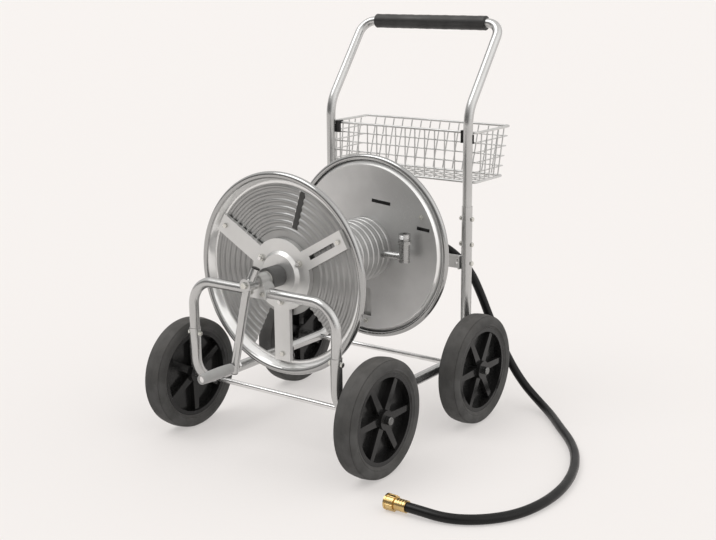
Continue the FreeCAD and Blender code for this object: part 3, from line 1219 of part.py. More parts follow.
def coupling_nut():
    """Female hose nut that turns on the tail, with grip ribs round it."""
    end = hose_points()[-1]
    out = V(-1, 0, 0)
    start = end.add(V(-(SEAT_GAP + TAIL_SHOULDER + SIDE_PLAY), 0, 0))
    core = COUPLING_RADIUS - COUPLING_RIB_STAND
    body = rod(start, out, core, COUPLING_LENGTH)
    flange = rod(start.add(V(COUPLING_FLANGE - COUPLING_LENGTH, 0, 0)), out, COUPLING_RADIUS, COUPLING_FLANGE)
    ribs = []
    for index in range(COUPLING_RIBS):
        angle = 2 * math.pi * index / COUPLING_RIBS
        centre = COUPLING_RADIUS - COUPLING_RIB_RADIUS
        offset = V(0, centre * math.cos(angle), centre * math.sin(angle))
        ribs.append(rod(start.add(offset), out, COUPLING_RIB_RADIUS, COUPLING_LENGTH - COUPLING_RIB_SHORT))
    nut = joined([body, flange] + ribs)
    throat = rod(start.add(X_AXIS), out, STEM_RADIUS + NECK_WALL + RUNNING_CLEARANCE, COUPLING_LENGTH)
    chamber_start = start.add(V(-COUPLING_LIP, 0, 0))
    chamber = rod(chamber_start, out, COUPLING_THREAD_RADIUS - COUPLING_STEP, COUPLING_LENGTH)
    mouth = start.add(V(-(COUPLING_LENGTH - COUPLING_THREAD_LENGTH), 0, 0))
    thread = rod(mouth, out, COUPLING_THREAD_RADIUS, COUPLING_LENGTH)
    return nut.cut([throat, chamber, thread])


def coupling_washer():
    """Rubber washer on the tail's collar, inside the nut."""
    end = hose_points()[-1]
    out = V(-1, 0, 0)
    back = COLLAR_SET + COUPLING_COLLAR + SEAT_GAP
    outer = COUPLING_THREAD_RADIUS - COUPLING_STEP - SIDE_PLAY
    return ring(end.add(V(-back, 0, 0)), out, outer, STEM_RADIUS - NECK_WALL, WASHER_THICKNESS)


def build():
    """Makes every sub-part in the construction frame."""
    right = side_frame()
    keep("right_side_frame", right)
    keep("left_side_frame", mirrored(right))
    keep("front_hoop", front_hoop())
    keep("handle_tube", handle_tube())
    keep("hand_grip", hand_grip())
    keep("rear_crossbar", rear_crossbar())
    pairs = frame_fasteners()
    keep("frame_bolts", Part.makeCompound([part for bolt, nut in pairs for part in (bolt, mirrored(bolt))]))
    keep("frame_nuts", Part.makeCompound([part for bolt, nut in pairs for part in (nut, mirrored(nut))]))

    keep("front_axle", wheel_axle(-HALF_BASE))
    keep("rear_axle", wheel_axle(HALF_BASE))
    keep("axle_spacers", Part.makeCompound([both_sides(axle_spacer(y)) for y in (-HALF_BASE, HALF_BASE)]))
    keep("axle_caps", Part.makeCompound([both_sides(axle_cap(y)) for y in (-HALF_BASE, HALF_BASE)]))
    wheel_sides = (("left", -HALF_TRACK, LEFT_SPOKE_TURN_DEG), ("right", HALF_TRACK, RIGHT_SPOKE_TURN_DEG))
    for end, y in (("front", -HALF_BASE), ("rear", HALF_BASE)):
        for side, x, turn in wheel_sides:
            for piece, shape in (("wheel", wheel_centre(turn)), ("tyre", tyre())):
                shape.translate(V(x, y, RAIL_Z))
                keep(f"{end}_{side}_{piece}", shape)

    keep("front_disc", front_disc())
    keep("rear_disc", rear_disc())
    keep("slot_grommets", slot_grommets())
    keep("front_spider", spider(FRONT_DISC_Y, -1))
    keep("rear_spider", spider(REAR_DISC_Y, 1))
    keep("drum", drum())
    keep("reel_axle", reel_axle())
    front_stop = SADDLE_BACK_Y + SEAT_GAP + BUSH_FLANGE_THICKNESS + SIDE_PLAY
    rear_stop = REAR_BLOCK_FRONT_Y - SEAT_GAP - BUSH_FLANGE_THICKNESS - SIDE_PLAY
    keep("front_sleeve", sleeve(front_stop, FRONT_BOSS_Y - SEAT_GAP, REEL_JOURNAL_RADIUS + PIPE_CLEARANCE))
    keep("rear_sleeve", sleeve(REAR_BOSS_Y + SEAT_GAP, rear_stop, REEL_AXLE_RADIUS + PIPE_CLEARANCE))
    rods, nuts = tie_rods()
    keep("tie_rods", rods)
    keep("tie_rod_nuts", nuts)
    bolts, nuts = spider_fasteners()
    keep("spider_bolts", bolts)
    keep("spider_nuts", nuts)
    keep("outlet_pipe", outlet_pipe())
    keep("outlet_elbow", outlet_elbow())

    keep("front_saddle", front_saddle())
    keep("rear_bearing_block", rear_block())
    front_seat = SADDLE_BACK_Y + SEAT_GAP
    rear_seat = REAR_BLOCK_FRONT_Y - SEAT_GAP
    keep("front_bush", bush(REEL_JOURNAL_RADIUS, front_seat, SADDLE_FRONT_Y, front_stop - SIDE_PLAY))
    keep("rear_bush", bush(REEL_AXLE_RADIUS, rear_seat, CROSSBAR_FRONT_Y, rear_stop + SIDE_PLAY))
    pairs = bearing_fasteners()
    keep("bearing_bolts", Part.makeCompound([bolt for bolt, nut in pairs]))
    keep("bearing_nuts", Part.makeCompound([nut for bolt, nut in pairs]))

    keep("crank_arm", crank_arm())
    keep("crank_plugs", crank_plugs())
    keep("crank_bolt", crank_bolt())
    keep("crank_pin", crank_pin())
    keep("crank_grip", crank_grip())

    keep("basket_rim", basket_rim())
    front, back, side = basket_walls()
    keep("basket_front", front)
    keep("basket_back", back)
    keep("basket_right", side)
    keep("basket_left", mirrored(side))
    keep("basket_floor", basket_floor())
    keep("basket_clips", both_sides(basket_clip()))

    keep("inlet_elbow", inlet_elbow())
    keep("inlet_seals", o_rings())
    keep("inlet_ferrule", ferrule(V(INLET_REACH + SIDE_PLAY, INLET_Y, REEL_AXIS_Z), X_AXIS))
    keep("leader_hose", leader_hose())
    keep("coupling_tail", coupling_tail())
    keep("coupling_nut", coupling_nut())
    keep("coupling_washer", coupling_washer())


def write():
    """Moves every sub-part to the origin's frame and writes one file for each."""
    os.makedirs("parts", exist_ok=True)
    for name, shape in NODES.items():
        shape.translate(V(0, -MIDDLE_Y, 0))
        shape.exportStep(f"parts/{name}.step")


build()
write()
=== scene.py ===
import cmath
import json
import logging
import math
from dataclasses import dataclass
from enum import Enum, StrEnum, auto

import bmesh
import bpy
from mathutils import Matrix, Vector


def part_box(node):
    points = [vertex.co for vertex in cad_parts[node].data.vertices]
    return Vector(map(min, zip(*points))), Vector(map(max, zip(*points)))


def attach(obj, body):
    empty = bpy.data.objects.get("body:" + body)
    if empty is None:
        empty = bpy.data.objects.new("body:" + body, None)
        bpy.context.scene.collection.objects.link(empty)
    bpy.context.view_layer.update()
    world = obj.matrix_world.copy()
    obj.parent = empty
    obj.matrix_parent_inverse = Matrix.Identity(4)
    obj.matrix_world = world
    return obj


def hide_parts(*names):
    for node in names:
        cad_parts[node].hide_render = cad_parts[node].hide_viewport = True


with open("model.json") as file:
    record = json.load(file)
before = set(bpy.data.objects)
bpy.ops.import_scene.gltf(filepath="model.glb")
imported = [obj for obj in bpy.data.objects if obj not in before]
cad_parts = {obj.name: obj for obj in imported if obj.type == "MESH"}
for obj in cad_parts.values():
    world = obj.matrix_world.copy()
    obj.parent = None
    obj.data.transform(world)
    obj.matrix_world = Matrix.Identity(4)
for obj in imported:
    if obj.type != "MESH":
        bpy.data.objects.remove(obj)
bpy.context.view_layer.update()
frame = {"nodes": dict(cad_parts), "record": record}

LOG = logging.getLogger("hose_reel_cart")
MM = 0.001
IMAGE_WIDTH = 716
SHARP_DEG = 40.0
Colour = tuple[float, float, float]
Place = tuple[float, float, float]
Pair = tuple[float, float]
Profile = list[Pair]
Names = tuple[str, ...]
Material = bpy.types.Material
Node = bpy.types.Node
Piece = bpy.types.Object
Socket = bpy.types.NodeSocket


class Axis(Enum):
    """Row axes that a turned piece can lie along."""

    X = "x"
    Z = "z"

    def point(self, along: float, radius: float, angle: float) -> Vector:
        """Gives a point of a turned surface: place along the axis, radius and angle in radians."""
        side, rise = radius * math.cos(angle), radius * math.sin(angle)
        return Vector((along, side, rise)) if self is Axis.X else Vector((side, rise, along))


class WheelPlace(StrEnum):
    """The four wheels; the value starts the names of a wheel's nodes and of its body."""

    FRONT_LEFT = auto()
    FRONT_RIGHT = auto()
    REAR_LEFT = auto()
    REAR_RIGHT = auto()


class Slot(StrEnum):
    """Material slots of the record."""

    GREY_TUBE = auto()
    GREY_PLATE = auto()
    ZINC_SHEET = auto()
    DARK_SHEET = auto()
    STEEL = auto()
    BRIGHT_STEEL = auto()
    ZINC_BOLTS = auto()
    TYRE_RUBBER = auto()
    BLACK_PLASTIC = auto()
    GREY_PLASTIC = auto()
    BUSH_PLASTIC = auto()
    FOAM = auto()
    BASKET_WIRE = auto()
    BRASS = auto()
    HOSE_RUBBER = auto()


class NodeKit:
    """Short calls that place shader nodes in a tree and join them."""

    def __init__(self, tree: bpy.types.NodeTree) -> None:
        """Takes the tree that the nodes go into."""
        self.tree = tree

    def join(self, source: object, socket: Socket) -> None:
        """Joins an output to an input, or sets the input to a number or a tuple."""
        if isinstance(source, Socket):
            self.tree.links.new(source, socket)
        else:
            socket.default_value = source

    def math(self, operation: str, *sources: object) -> Socket:
        """Places a Math node.

        Args:
            operation: the node's operation.
            sources: numbers or outputs, in the order of its inputs.

        Returns:
            The node's value.
        """
        node = self.tree.nodes.new("ShaderNodeMath")
        node.operation = operation
        for index, source in enumerate(sources):
            self.join(source, node.inputs[index])
        return node.outputs["Value"]

    def vector_math(self, operation: str, first: object, second: object) -> Node:
        """Places a Vector Math node.

        Args:
            operation: the node's operation.
            first: a vector, or an output that gives one.
            second: a vector, or an output that gives one.

        Returns:
            The node.
        """
        node = self.tree.nodes.new("ShaderNodeVectorMath")
        node.operation = operation
        self.join(first, node.inputs[0])
        self.join(second, node.inputs[1])
        return node

    def noise(self, vector: Socket, scale: object, detail: float) -> Socket:
        """Places a Noise texture.

        Args:
            vector: where the texture is read.
            scale: a number, or an output that gives one.
            detail: number of octaves.

        Returns:
            The noise value.
        """
        node = self.tree.nodes.new("ShaderNodeTexNoise")
        node.inputs["Detail"].default_value = detail
        self.join(vector, node.inputs["Vector"])
        self.join(scale, node.inputs["Scale"])
        return node.outputs["Fac"]

    def ramp(self, source: object, start: object, end: object, low: object, high: object) -> Socket:
        """Maps a value smoothly from one range to another.

        Args:
            source: the value.
            start: value that gives low.
            end: value that gives high.
            low: result at start and before it.
            high: result at end and past it.

        Returns:
            The mapped value.
        """
        node = self.tree.nodes.new("ShaderNodeMapRange")
        node.interpolation_type = "SMOOTHSTEP"
        names = ("Value", "From Min", "From Max", "To Min", "To Max")
        for name, given in zip(names, (source, start, end, low, high)):
            self.join(given, node.inputs[name])
        return node.outputs["Result"]

    def blend(self, mask: Socket, under: object, over: object) -> Socket:
        """Mixes two colours by a mask.

        Args:
            mask: 0 gives the first colour and 1 the second.
            under: a colour, or an output that gives one.
            over: a colour, or an output that gives one.

        Returns:
            The mixed colour.
        """
        node = self.tree.nodes.new("ShaderNodeMix")
        node.data_type = "RGBA"
        self.join(mask, node.inputs[0])
        for index, colour in ((6, under), (7, over)):
            self.join((*colour, 1.0) if isinstance(colour, tuple) else colour, node.inputs[index])
        return node.outputs[2]

    def split(self, vector: Socket) -> Node:
        """Places a Separate XYZ node and returns it."""
        node = self.tree.nodes.new("ShaderNodeSeparateXYZ")
        self.join(vector, node.inputs["Vector"])
        return node

    def object_place(self) -> Socket:
        """Gives the place on the object, in metres."""
        return self.tree.nodes.new("ShaderNodeTexCoord").outputs["Object"]


class ShaderBench:
    """A material with its Principled shader, and short calls that feed it."""

    def __init__(self, name: str) -> None:
        """Starts an empty material.

        Args:
            name: name of the material.
        """
        self.material = bpy.data.materials.new(name)
        self.material.use_nodes = True
        self.tree = self.material.node_tree
        self.tree.nodes.clear()
        self.kit = NodeKit(self.tree)
        self.shader = self.tree.nodes.new("ShaderNodeBsdfPrincipled")
        output = self.tree.nodes.new("ShaderNodeOutputMaterial")
        self.tree.links.new(self.shader.outputs["BSDF"], output.inputs["Surface"])

    @staticmethod
    def _set(node: Node, values: dict[str, object]) -> None:
        """Sets input values by socket name, with underscores for spaces."""
        for key, value in values.items():
            socket = node.inputs[key.replace("_", " ")]
            socket.default_value = (*value, 1.0) if socket.type == "RGBA" else value

    def effect(self, group: str, **values: object) -> bpy.types.bpy_prop_collection:
        """Places a shared effect with its own values.

        Args:
            group: name of the node group.
            values: input values by socket name, with underscores for spaces.

        Returns:
            The group's outputs, by name.
        """
        node = self.tree.nodes.new("ShaderNodeGroup")
        node.node_tree = bpy.data.node_groups[group]
        self._set(node, values)
        return node.outputs

    def fix(self, **values: object) -> None:
        """Sets constants on the shader's own sockets, with underscores for spaces in their names."""
        self._set(self.shader, values)

    def feed(self, socket: str, source: Socket) -> None:
        """Joins an output to one of the shader's sockets."""
        self.tree.links.new(source, self.shader.inputs[socket])

    def spread(self, source: Socket, low: object, high: object) -> Socket:
        """Stretches a mask from 0 and 1 to two other limits, which are numbers or outputs."""
        return self.kit.ramp(source, 0.0, 1.0, low, high)

    def relief(self, height: Socket, strength: float, depth_mm: float) -> None:
        """Raises the surface by a height through a Bump node.

        Args:
            height: the height value.
            strength: share of the effect.
            depth_mm: height of a full step.
        """
        node = self.tree.nodes.new("ShaderNodeBump")
        node.inputs["Strength"].default_value = strength
        node.inputs["Distance"].default_value = depth_mm * MM
        self.tree.links.new(height, node.inputs["Height"])
        self.feed("Normal", node.outputs["Normal"])


class SurfaceEffects:
    """Node groups that more than one finish uses."""

    RING_DRIFT = 0.002
    RING_DEPTH = 0.3
    SIDE_DUST = 0.25
    STREAK_FINENESS = 14.0
    PATCH_EDGE = (0.56, 0.72)
    STREAK_EDGE = (0.5, 0.66)

    def build(self) -> None:
        """Builds every group once; the finishes find them by name."""
        self._tone_drift()
        self._fine_relief()
        self._lay_lines()
        self._ring_lines()
        self._settled_dust()
        self._scuffs()

    @staticmethod
    def _tree(name: str, inputs: dict[str, object], outputs: dict[str, str]) -> tuple:
        """Starts a group with its sockets.

        Args:
            name: name of the group.
            inputs: start value of each input; a number, a colour of four numbers or a vector of three.
            outputs: kind of each output, Float or Color.

        Returns:
            A node kit for the tree, the outputs of its input node and the inputs of its output node.
        """
        tree = bpy.data.node_groups.new(name, "ShaderNodeTree")
        kinds = {1: "NodeSocketFloat", 3: "NodeSocketVector", 4: "NodeSocketColor"}
        for key, value in inputs.items():
            size = len(value) if isinstance(value, tuple) else 1
            socket = tree.interface.new_socket(name=key, in_out="INPUT", socket_type=kinds[size])
            socket.default_value = value
        for key, kind in outputs.items():
            tree.interface.new_socket(name=key, in_out="OUTPUT", socket_type=f"NodeSocket{kind}")
        given = tree.nodes.new("NodeGroupInput").outputs
        made = tree.nodes.new("NodeGroupOutput").inputs
        return NodeKit(tree), given, made

    def _tone_drift(self) -> None:
        """Builds a colour that drifts slowly between two tones, as in a sprayed surface, and its mask."""
        inputs = {"Light": (0.5, 0.5, 0.5, 1.0), "Dark": (0.4, 0.4, 0.4, 1.0), "Scale": 8.0, "Spread": 0.3}
        kit, given, made = self._tree("tone_drift", inputs, {"Color": "Color", "Mask": "Float"})
        noise = kit.noise(kit.object_place(), given["Scale"], detail=5.0)
        offset = kit.math("DIVIDE", kit.math("SUBTRACT", noise, 0.5), given["Spread"])
        mask = kit.ramp(offset, -0.5, 0.5, 0.0, 1.0)
        kit.join(kit.blend(mask, given["Light"], given["Dark"]), made["Color"])
        kit.join(mask, made["Mask"])

    def _fine_relief(self) -> None:
        """Builds the height of a fine grain with pits, for paint, rubber, foam and moulded plastic."""
        kit, given, made = self._tree("fine_relief", {"Scale": 600.0, "Pits": 0.3}, {"Height": "Float"})
        place = kit.object_place()
        grain = kit.noise(place, given["Scale"], detail=4.0)
        cells = kit.tree.nodes.new("ShaderNodeTexVoronoi")
        kit.join(place, cells.inputs["Vector"])
        kit.join(given["Scale"], cells.inputs["Scale"])
        pits = kit.math("MULTIPLY", cells.outputs["Distance"], given["Pits"])
        kit.join(kit.math("ADD", grain, pits), made["Height"])

    def _lay_lines(self) -> None:
        """Builds the value of long streaks along one direction, as drawing or rolling leaves."""
        inputs = {"Stretch": (1.0, 1.0, 1.0), "Scale": 40.0}
        kit, given, made = self._tree("lay_lines", inputs, {"Value": "Float"})
        stretched = kit.vector_math("MULTIPLY", kit.object_place(), given["Stretch"])
        kit.join(kit.noise(stretched.outputs["Vector"], given["Scale"], detail=4.0), made["Value"])

    def _ring_lines(self) -> None:
        """Builds fine rings about an axis along Y, as pressing leaves, and the distance from the axis."""
        inputs = {"Axis Height": 0.39, "Scale": 900.0}
        kit, given, made = self._tree("ring_lines", inputs, {"Value": "Float", "Radius": "Float"})
        split = kit.split(kit.object_place()).outputs
        rise = kit.math("SUBTRACT", split["Z"], given["Axis Height"])
        wide = kit.math("MULTIPLY", split["X"], split["X"])
        radius = kit.math("SQRT", kit.math("MULTIPLY_ADD", rise, rise, wide))
        turn = kit.math("ARCTAN2", rise, split["X"])
        rings = kit.tree.nodes.new("ShaderNodeCombineXYZ")
        kit.join(radius, rings.inputs["X"])
        kit.join(kit.math("MULTIPLY", turn, self.RING_DRIFT), rings.inputs["Y"])
        kit.join(kit.math("MULTIPLY", split["Y"], self.RING_DEPTH), rings.inputs["Z"])
        kit.join(kit.noise(rings.outputs["Vector"], given["Scale"], detail=3.0), made["Value"])
        kit.join(radius, made["Radius"])

    def _settled_dust(self) -> None:
        """Builds a dust mask: more on faces that look up, broken up by noise."""
        kit, given, made = self._tree("settled_dust", {"Amount": 0.3, "Scale": 30.0}, {"Mask": "Float"})
        normal = kit.tree.nodes.new("ShaderNodeNewGeometry").outputs["Normal"]
        upward = kit.math("MAXIMUM", kit.split(normal).outputs["Z"], 0.0)
        noise = kit.noise(kit.object_place(), given["Scale"], detail=6.0)
        share = kit.math("MULTIPLY", kit.math("ADD", upward, self.SIDE_DUST), noise)
        kit.join(kit.math("MULTIPLY", share, given["Amount"]), made["Mask"])

    def _scuffs(self) -> None:
        """Builds a mask of sparse rubbed marks, where a coarse patch and a fine streak meet."""
        inputs = {"Amount": 0.4, "Scale": 18.0, "Stretch": (1.0, 1.0, 6.0)}
        kit, given, made = self._tree("scuffs", inputs, {"Mask": "Float"})
        place = kit.object_place()
        patch = kit.ramp(kit.noise(place, given["Scale"], detail=3.0), *self.PATCH_EDGE, 0.0, 1.0)
        streak_place = kit.vector_math("MULTIPLY", place, given["Stretch"]).outputs["Vector"]
        fine_scale = kit.math("MULTIPLY", given["Scale"], self.STREAK_FINENESS)
        streak = kit.ramp(kit.noise(streak_place, fine_scale, detail=3.0), *self.STREAK_EDGE, 0.0, 1.0)
        kit.join(kit.math("MULTIPLY", kit.math("MULTIPLY", patch, streak), given["Amount"]), made["Mask"])


@dataclass(frozen=True)
class SilverEnamel:
    """Metallic grey paint on tube, plate or wire."""

    name: str
    light: Colour
    dark: Colour
    metallic: float = 0.9
    rough: Pair = (0.2, 0.32)
    coat: float = 0.3
    stretch: Place = (1.0, 1.0, 0.12)
    scuffed: float = 0.12
    peel: float = 0.03
    peel_mm: float = 0.1
    dust_colour: Colour = (0.5, 0.48, 0.45)
    scuff_colour: Colour = (0.3, 0.295, 0.29)

    def make(self) -> Material:
        """Makes the paint, with flake, orange peel, streaks, rubbed marks and dust.

        Returns:
            The material.
        """
        bench = ShaderBench(self.name)
        tone = bench.effect("tone_drift", Light=self.light, Dark=self.dark, Scale=11.0, Spread=0.5)
        streaks = bench.effect("lay_lines", Stretch=self.stretch, Scale=90.0)
        dust = bench.effect("settled_dust", Amount=0.12, Scale=45.0)
        scuffs = bench.effect("scuffs", Amount=self.scuffed, Scale=16.0, Stretch=(2.0, 2.0, 0.7))
        rubbed = bench.kit.blend(scuffs["Mask"], tone["Color"], self.scuff_colour)
        bench.feed("Base Color", bench.kit.blend(dust["Mask"], rubbed, self.dust_colour))
        bench.feed("Roughness", bench.spread(streaks["Value"], *self.rough))
        bench.fix(Metallic=self.metallic, Coat_Weight=self.coat, Coat_Roughness=0.1)
        peel = bench.effect("fine_relief", Scale=420.0, Pits=0.35)
        bench.relief(peel["Height"], self.peel, self.peel_mm)
        return bench.material


@dataclass(frozen=True)
class PressedSheet:
    """Pressed and coated sheet of the reel discs, with a painted highlight on the band at the edge and
    painted shade on the rolled bead.
    """

    name: str
    light: Colour
    dark: Colour
    # near-white painted highlight on the sloped edge band; rubbed marks on the plate take the same colour
    rim: Colour = (0.93, 0.93, 0.92)
    # painted shade on the rolled bead
    bead: Colour = (0.42, 0.42, 0.415)
    rim_edge: Pair = (0.193, 0.196)
    bead_edge: Pair = (0.2055, 0.2070)
    plate_rough: Pair = (0.32, 0.46)
    rim_rough: float = 0.12
    band_metallic: float = 0.45
    plate_metallic: float = 0.9
    ring_share: float = 0.08
    ring_mm: float = 0.1

    def make(self) -> Material:
        """Makes the sheet, with pressing rings, a painted highlight on its edge band and painted shade on
        its bead.

        Returns:
            The material.
        """
        bench = ShaderBench(self.name)
        tone = bench.effect("tone_drift", Light=self.light, Dark=self.dark, Scale=14.0, Spread=0.45)
        rings = bench.effect("ring_lines", Scale=800.0)
        scuffs = bench.effect("scuffs", Amount=0.15, Scale=14.0, Stretch=(3.0, 1.0, 1.0))
        # by radius: the edge band gets the painted highlight, then the bead gets the painted shade
        edge = bench.kit.ramp(rings["Radius"], *self.rim_edge, 0.0, 1.0)
        bead = bench.kit.ramp(rings["Radius"], *self.bead_edge, 0.0, 1.0)
        plate = bench.kit.blend(scuffs["Mask"], tone["Color"], self.rim)
        band_highlighted = bench.kit.blend(edge, plate, self.rim)
        band = bench.kit.math("SUBTRACT", edge, bead)
        bench.feed("Base Color", bench.kit.blend(bead, band_highlighted, self.bead))
        bench.feed("Metallic", bench.spread(band, self.plate_metallic, self.band_metallic))
        grained = bench.spread(rings["Value"], *self.plate_rough)
        bench.feed("Roughness", bench.spread(edge, grained, self.rim_rough))
        bench.fix(Coat_Weight=0.1, Coat_Roughness=0.2)
        bench.relief(rings["Value"], self.ring_share, self.ring_mm)
        return bench.material


@dataclass(frozen=True)
class TurnedMetal:
    """Bare or plated metal: steel, zinc plating or brass."""

    name: str
    light: Colour
    dark: Colour
    rough: Pair = (0.16, 0.36)
    stretch: Place = (1.0, 0.06, 1.0)
    line_share: float = 0.05
    line_mm: float = 0.05

    def make(self) -> Material:
        """Makes the metal, with tool lines and tarnish.

        Returns:
            The material.
        """
        bench = ShaderBench(self.name)
        tone = bench.effect("tone_drift", Light=self.light, Dark=self.dark, Scale=40.0, Spread=0.6)
        lines = bench.effect("lay_lines", Stretch=self.stretch, Scale=400.0)
        bench.feed("Base Color", tone["Color"])
        bench.feed("Roughness", bench.spread(lines["Value"], *self.rough))
        bench.fix(Metallic=1.0)
        bench.relief(lines["Value"], self.line_share, self.line_mm)
        return bench.material


@dataclass(frozen=True)
class MouldedPolymer:
    """Rubber, foam or moulded plastic with a grained skin."""

    name: str
    light: Colour
    dark: Colour
    dust_colour: Colour = (0.22, 0.2, 0.18)
    dust: float = 0.2
    rough: Pair = (0.4, 0.6)
    grain: float = 900.0
    pits: float = 0.4
    grain_share: float = 0.25
    grain_mm: float = 0.2
    gloss: float = 0.5
    scuffed: float = 0.12

    def make(self) -> Material:
        """Makes the skin, with grain, dull patches, rubbed marks and dust.

        Returns:
            The material.
        """
        bench = ShaderBench(self.name)
        tone = bench.effect("tone_drift", Light=self.light, Dark=self.dark, Scale=26.0, Spread=0.4)
        dust = bench.effect("settled_dust", Amount=self.dust, Scale=40.0)
        scuffs = bench.effect("scuffs", Amount=self.scuffed, Scale=30.0, Stretch=(1.0, 4.0, 4.0))
        rubbed = bench.kit.blend(scuffs["Mask"], tone["Color"], self.dust_colour)
        bench.feed("Base Color", bench.kit.blend(dust["Mask"], rubbed, self.dust_colour))
        bench.feed("Roughness", bench.spread(tone["Mask"], *self.rough))
        bench.fix(Specular_IOR_Level=self.gloss)
        grain = bench.effect("fine_relief", Scale=self.grain, Pits=self.pits)
        bench.relief(grain["Height"], self.grain_share, self.grain_mm)
        return bench.material


Finish = SilverEnamel | PressedSheet | TurnedMetal | MouldedPolymer


def greys(light: float, dark: float, warm: float = 0.005) -> tuple[Colour, Colour]:
    """Gives a light and a dark grey, with blue weaker than red and green by the value of warm."""
    return (light, light, light - warm), (dark, dark, dark - warm)


def slot_finishes() -> dict[Slot, Finish]:
    """Gives the finish of each slot.

    Returns:
        Slot to finish.
    """
    return {
        Slot.GREY_TUBE: SilverEnamel("silver_tube_enamel", *greys(0.55, 0.5), rough=(0.2, 0.26)),
        Slot.GREY_PLATE: SilverEnamel(
            "silver_plate_enamel", *greys(0.72, 0.66, 0.01), metallic=0.8, rough=(0.3, 0.4)),
        Slot.ZINC_SHEET: PressedSheet("pressed_sheet", *greys(0.41, 0.34)),
        Slot.DARK_SHEET: SilverEnamel("drum_enamel", *greys(0.47, 0.4), metallic=0.7, rough=(0.3, 0.45)),
        Slot.STEEL: TurnedMetal(
            "turned_steel", (0.82, 0.815, 0.81), (0.72, 0.715, 0.71), rough=(0.14, 0.28)),
        Slot.BRIGHT_STEEL: TurnedMetal("plated_steel", *greys(0.34, 0.28), rough=(0.16, 0.3)),
        Slot.ZINC_BOLTS: TurnedMetal(
            "zinc_plating", (0.74, 0.74, 0.7), (0.6, 0.59, 0.55), stretch=(1.0, 1.0, 1.0)),
        Slot.BASKET_WIRE: SilverEnamel(
            "wire_enamel", *greys(0.66, 0.56, 0.01), metallic=0.7, rough=(0.28, 0.45)),
        Slot.BRASS: TurnedMetal(
            "turned_brass", (0.74, 0.54, 0.25), (0.58, 0.4, 0.16), stretch=(0.06, 1.0, 1.0)),
        Slot.TYRE_RUBBER: MouldedPolymer(
            "tyre_rubber", *greys(0.072, 0.054, 0.001), dust=0.25, rough=(0.7, 0.9), grain=520.0,
            gloss=0.25),
        Slot.BLACK_PLASTIC: MouldedPolymer(
            "black_plastic", *greys(0.012, 0.008, 0.0), dust=0.03, rough=(0.16, 0.26), grain=1400.0,
            grain_mm=0.04, gloss=0.3, scuffed=0.04),
        Slot.GREY_PLASTIC: MouldedPolymer(
            "grey_plastic", *greys(0.36, 0.29), dust=0.1, rough=(0.34, 0.5), grain=1200.0, grain_mm=0.08),
        Slot.BUSH_PLASTIC: MouldedPolymer(
            "bush_plastic", (0.7, 0.69, 0.65), (0.6, 0.59, 0.55), dust=0.15, rough=(0.4, 0.55)),
        Slot.FOAM: MouldedPolymer(
            "grip_foam", *greys(0.022, 0.013, 0.0), dust=0.15, rough=(0.4, 0.52), grain=700.0, pits=0.9,
            grain_share=0.3, grain_mm=0.3),
        Slot.HOSE_RUBBER: MouldedPolymer(
            "hose_rubber", *greys(0.008, 0.005, 0.0), dust=0.02, rough=(0.26, 0.36), grain=800.0,
            grain_mm=0.05, gloss=0.22, scuffed=0.04),
    }


def node_finishes() -> dict[str, Finish]:
    """Gives the finishes of single nodes that look different from the rest of their slot; the rear disc's
    lighter sheet is painted light.

    Returns:
        Node to finish.
    """
    outlet = TurnedMetal("outlet_steel", *greys(0.4, 0.33), rough=(0.2, 0.34))
    return {
        # lighter copy of the disc sheet: the extra lightness is painted light on the rear disc
        "rear_disc": PressedSheet("lit_rear_pressed_sheet", *greys(0.66, 0.58)),
        "axle_caps": TurnedMetal("cap_steel", *greys(0.2, 0.15, 0.002)),
        "outlet_elbow": outlet,
        "outlet_pipe": outlet,
        "front_sleeve": MouldedPolymer(
            "sleeve_plastic", *greys(0.09, 0.07, 0.001), dust=0.05, grain_mm=0.08),
    }


class PaintShop:
    """Makes each finish once and puts it on nodes and pieces."""

    def __init__(self) -> None:
        """Makes the materials of all slots."""
        SurfaceEffects().build()
        self.materials = {slot: finish.make() for slot, finish in slot_finishes().items()}
        own = node_finishes()
        made = {finish: finish.make() for finish in set(own.values())}
        self.own = {name: made[finish] for name, finish in own.items()}
        self.slot_of = {entry["node"]: Slot(entry["material_slot"]) for entry in frame["record"]["subparts"]}
        self.dressed: set[str] = set()

    def dress(self, piece: Piece, slot: Slot) -> None:
        """Gives a new piece the finish of a slot."""
        piece.data.materials.clear()
        piece.data.materials.append(self.materials[slot])

    def dress_node(self, name: str) -> None:
        """Gives a CAD node its own finish, or the finish of its slot."""
        materials = frame["nodes"][name].data.materials
        materials.clear()
        materials.append(self.own.get(name, self.materials[self.slot_of[name]]))
        self.dressed.add(name)

    def check(self) -> None:
        """Stops the script if a CAD node has no finish."""
        bare = set(frame["nodes"]) - self.dressed
        if bare:
            raise RuntimeError(f"no finish on {sorted(bare)}")


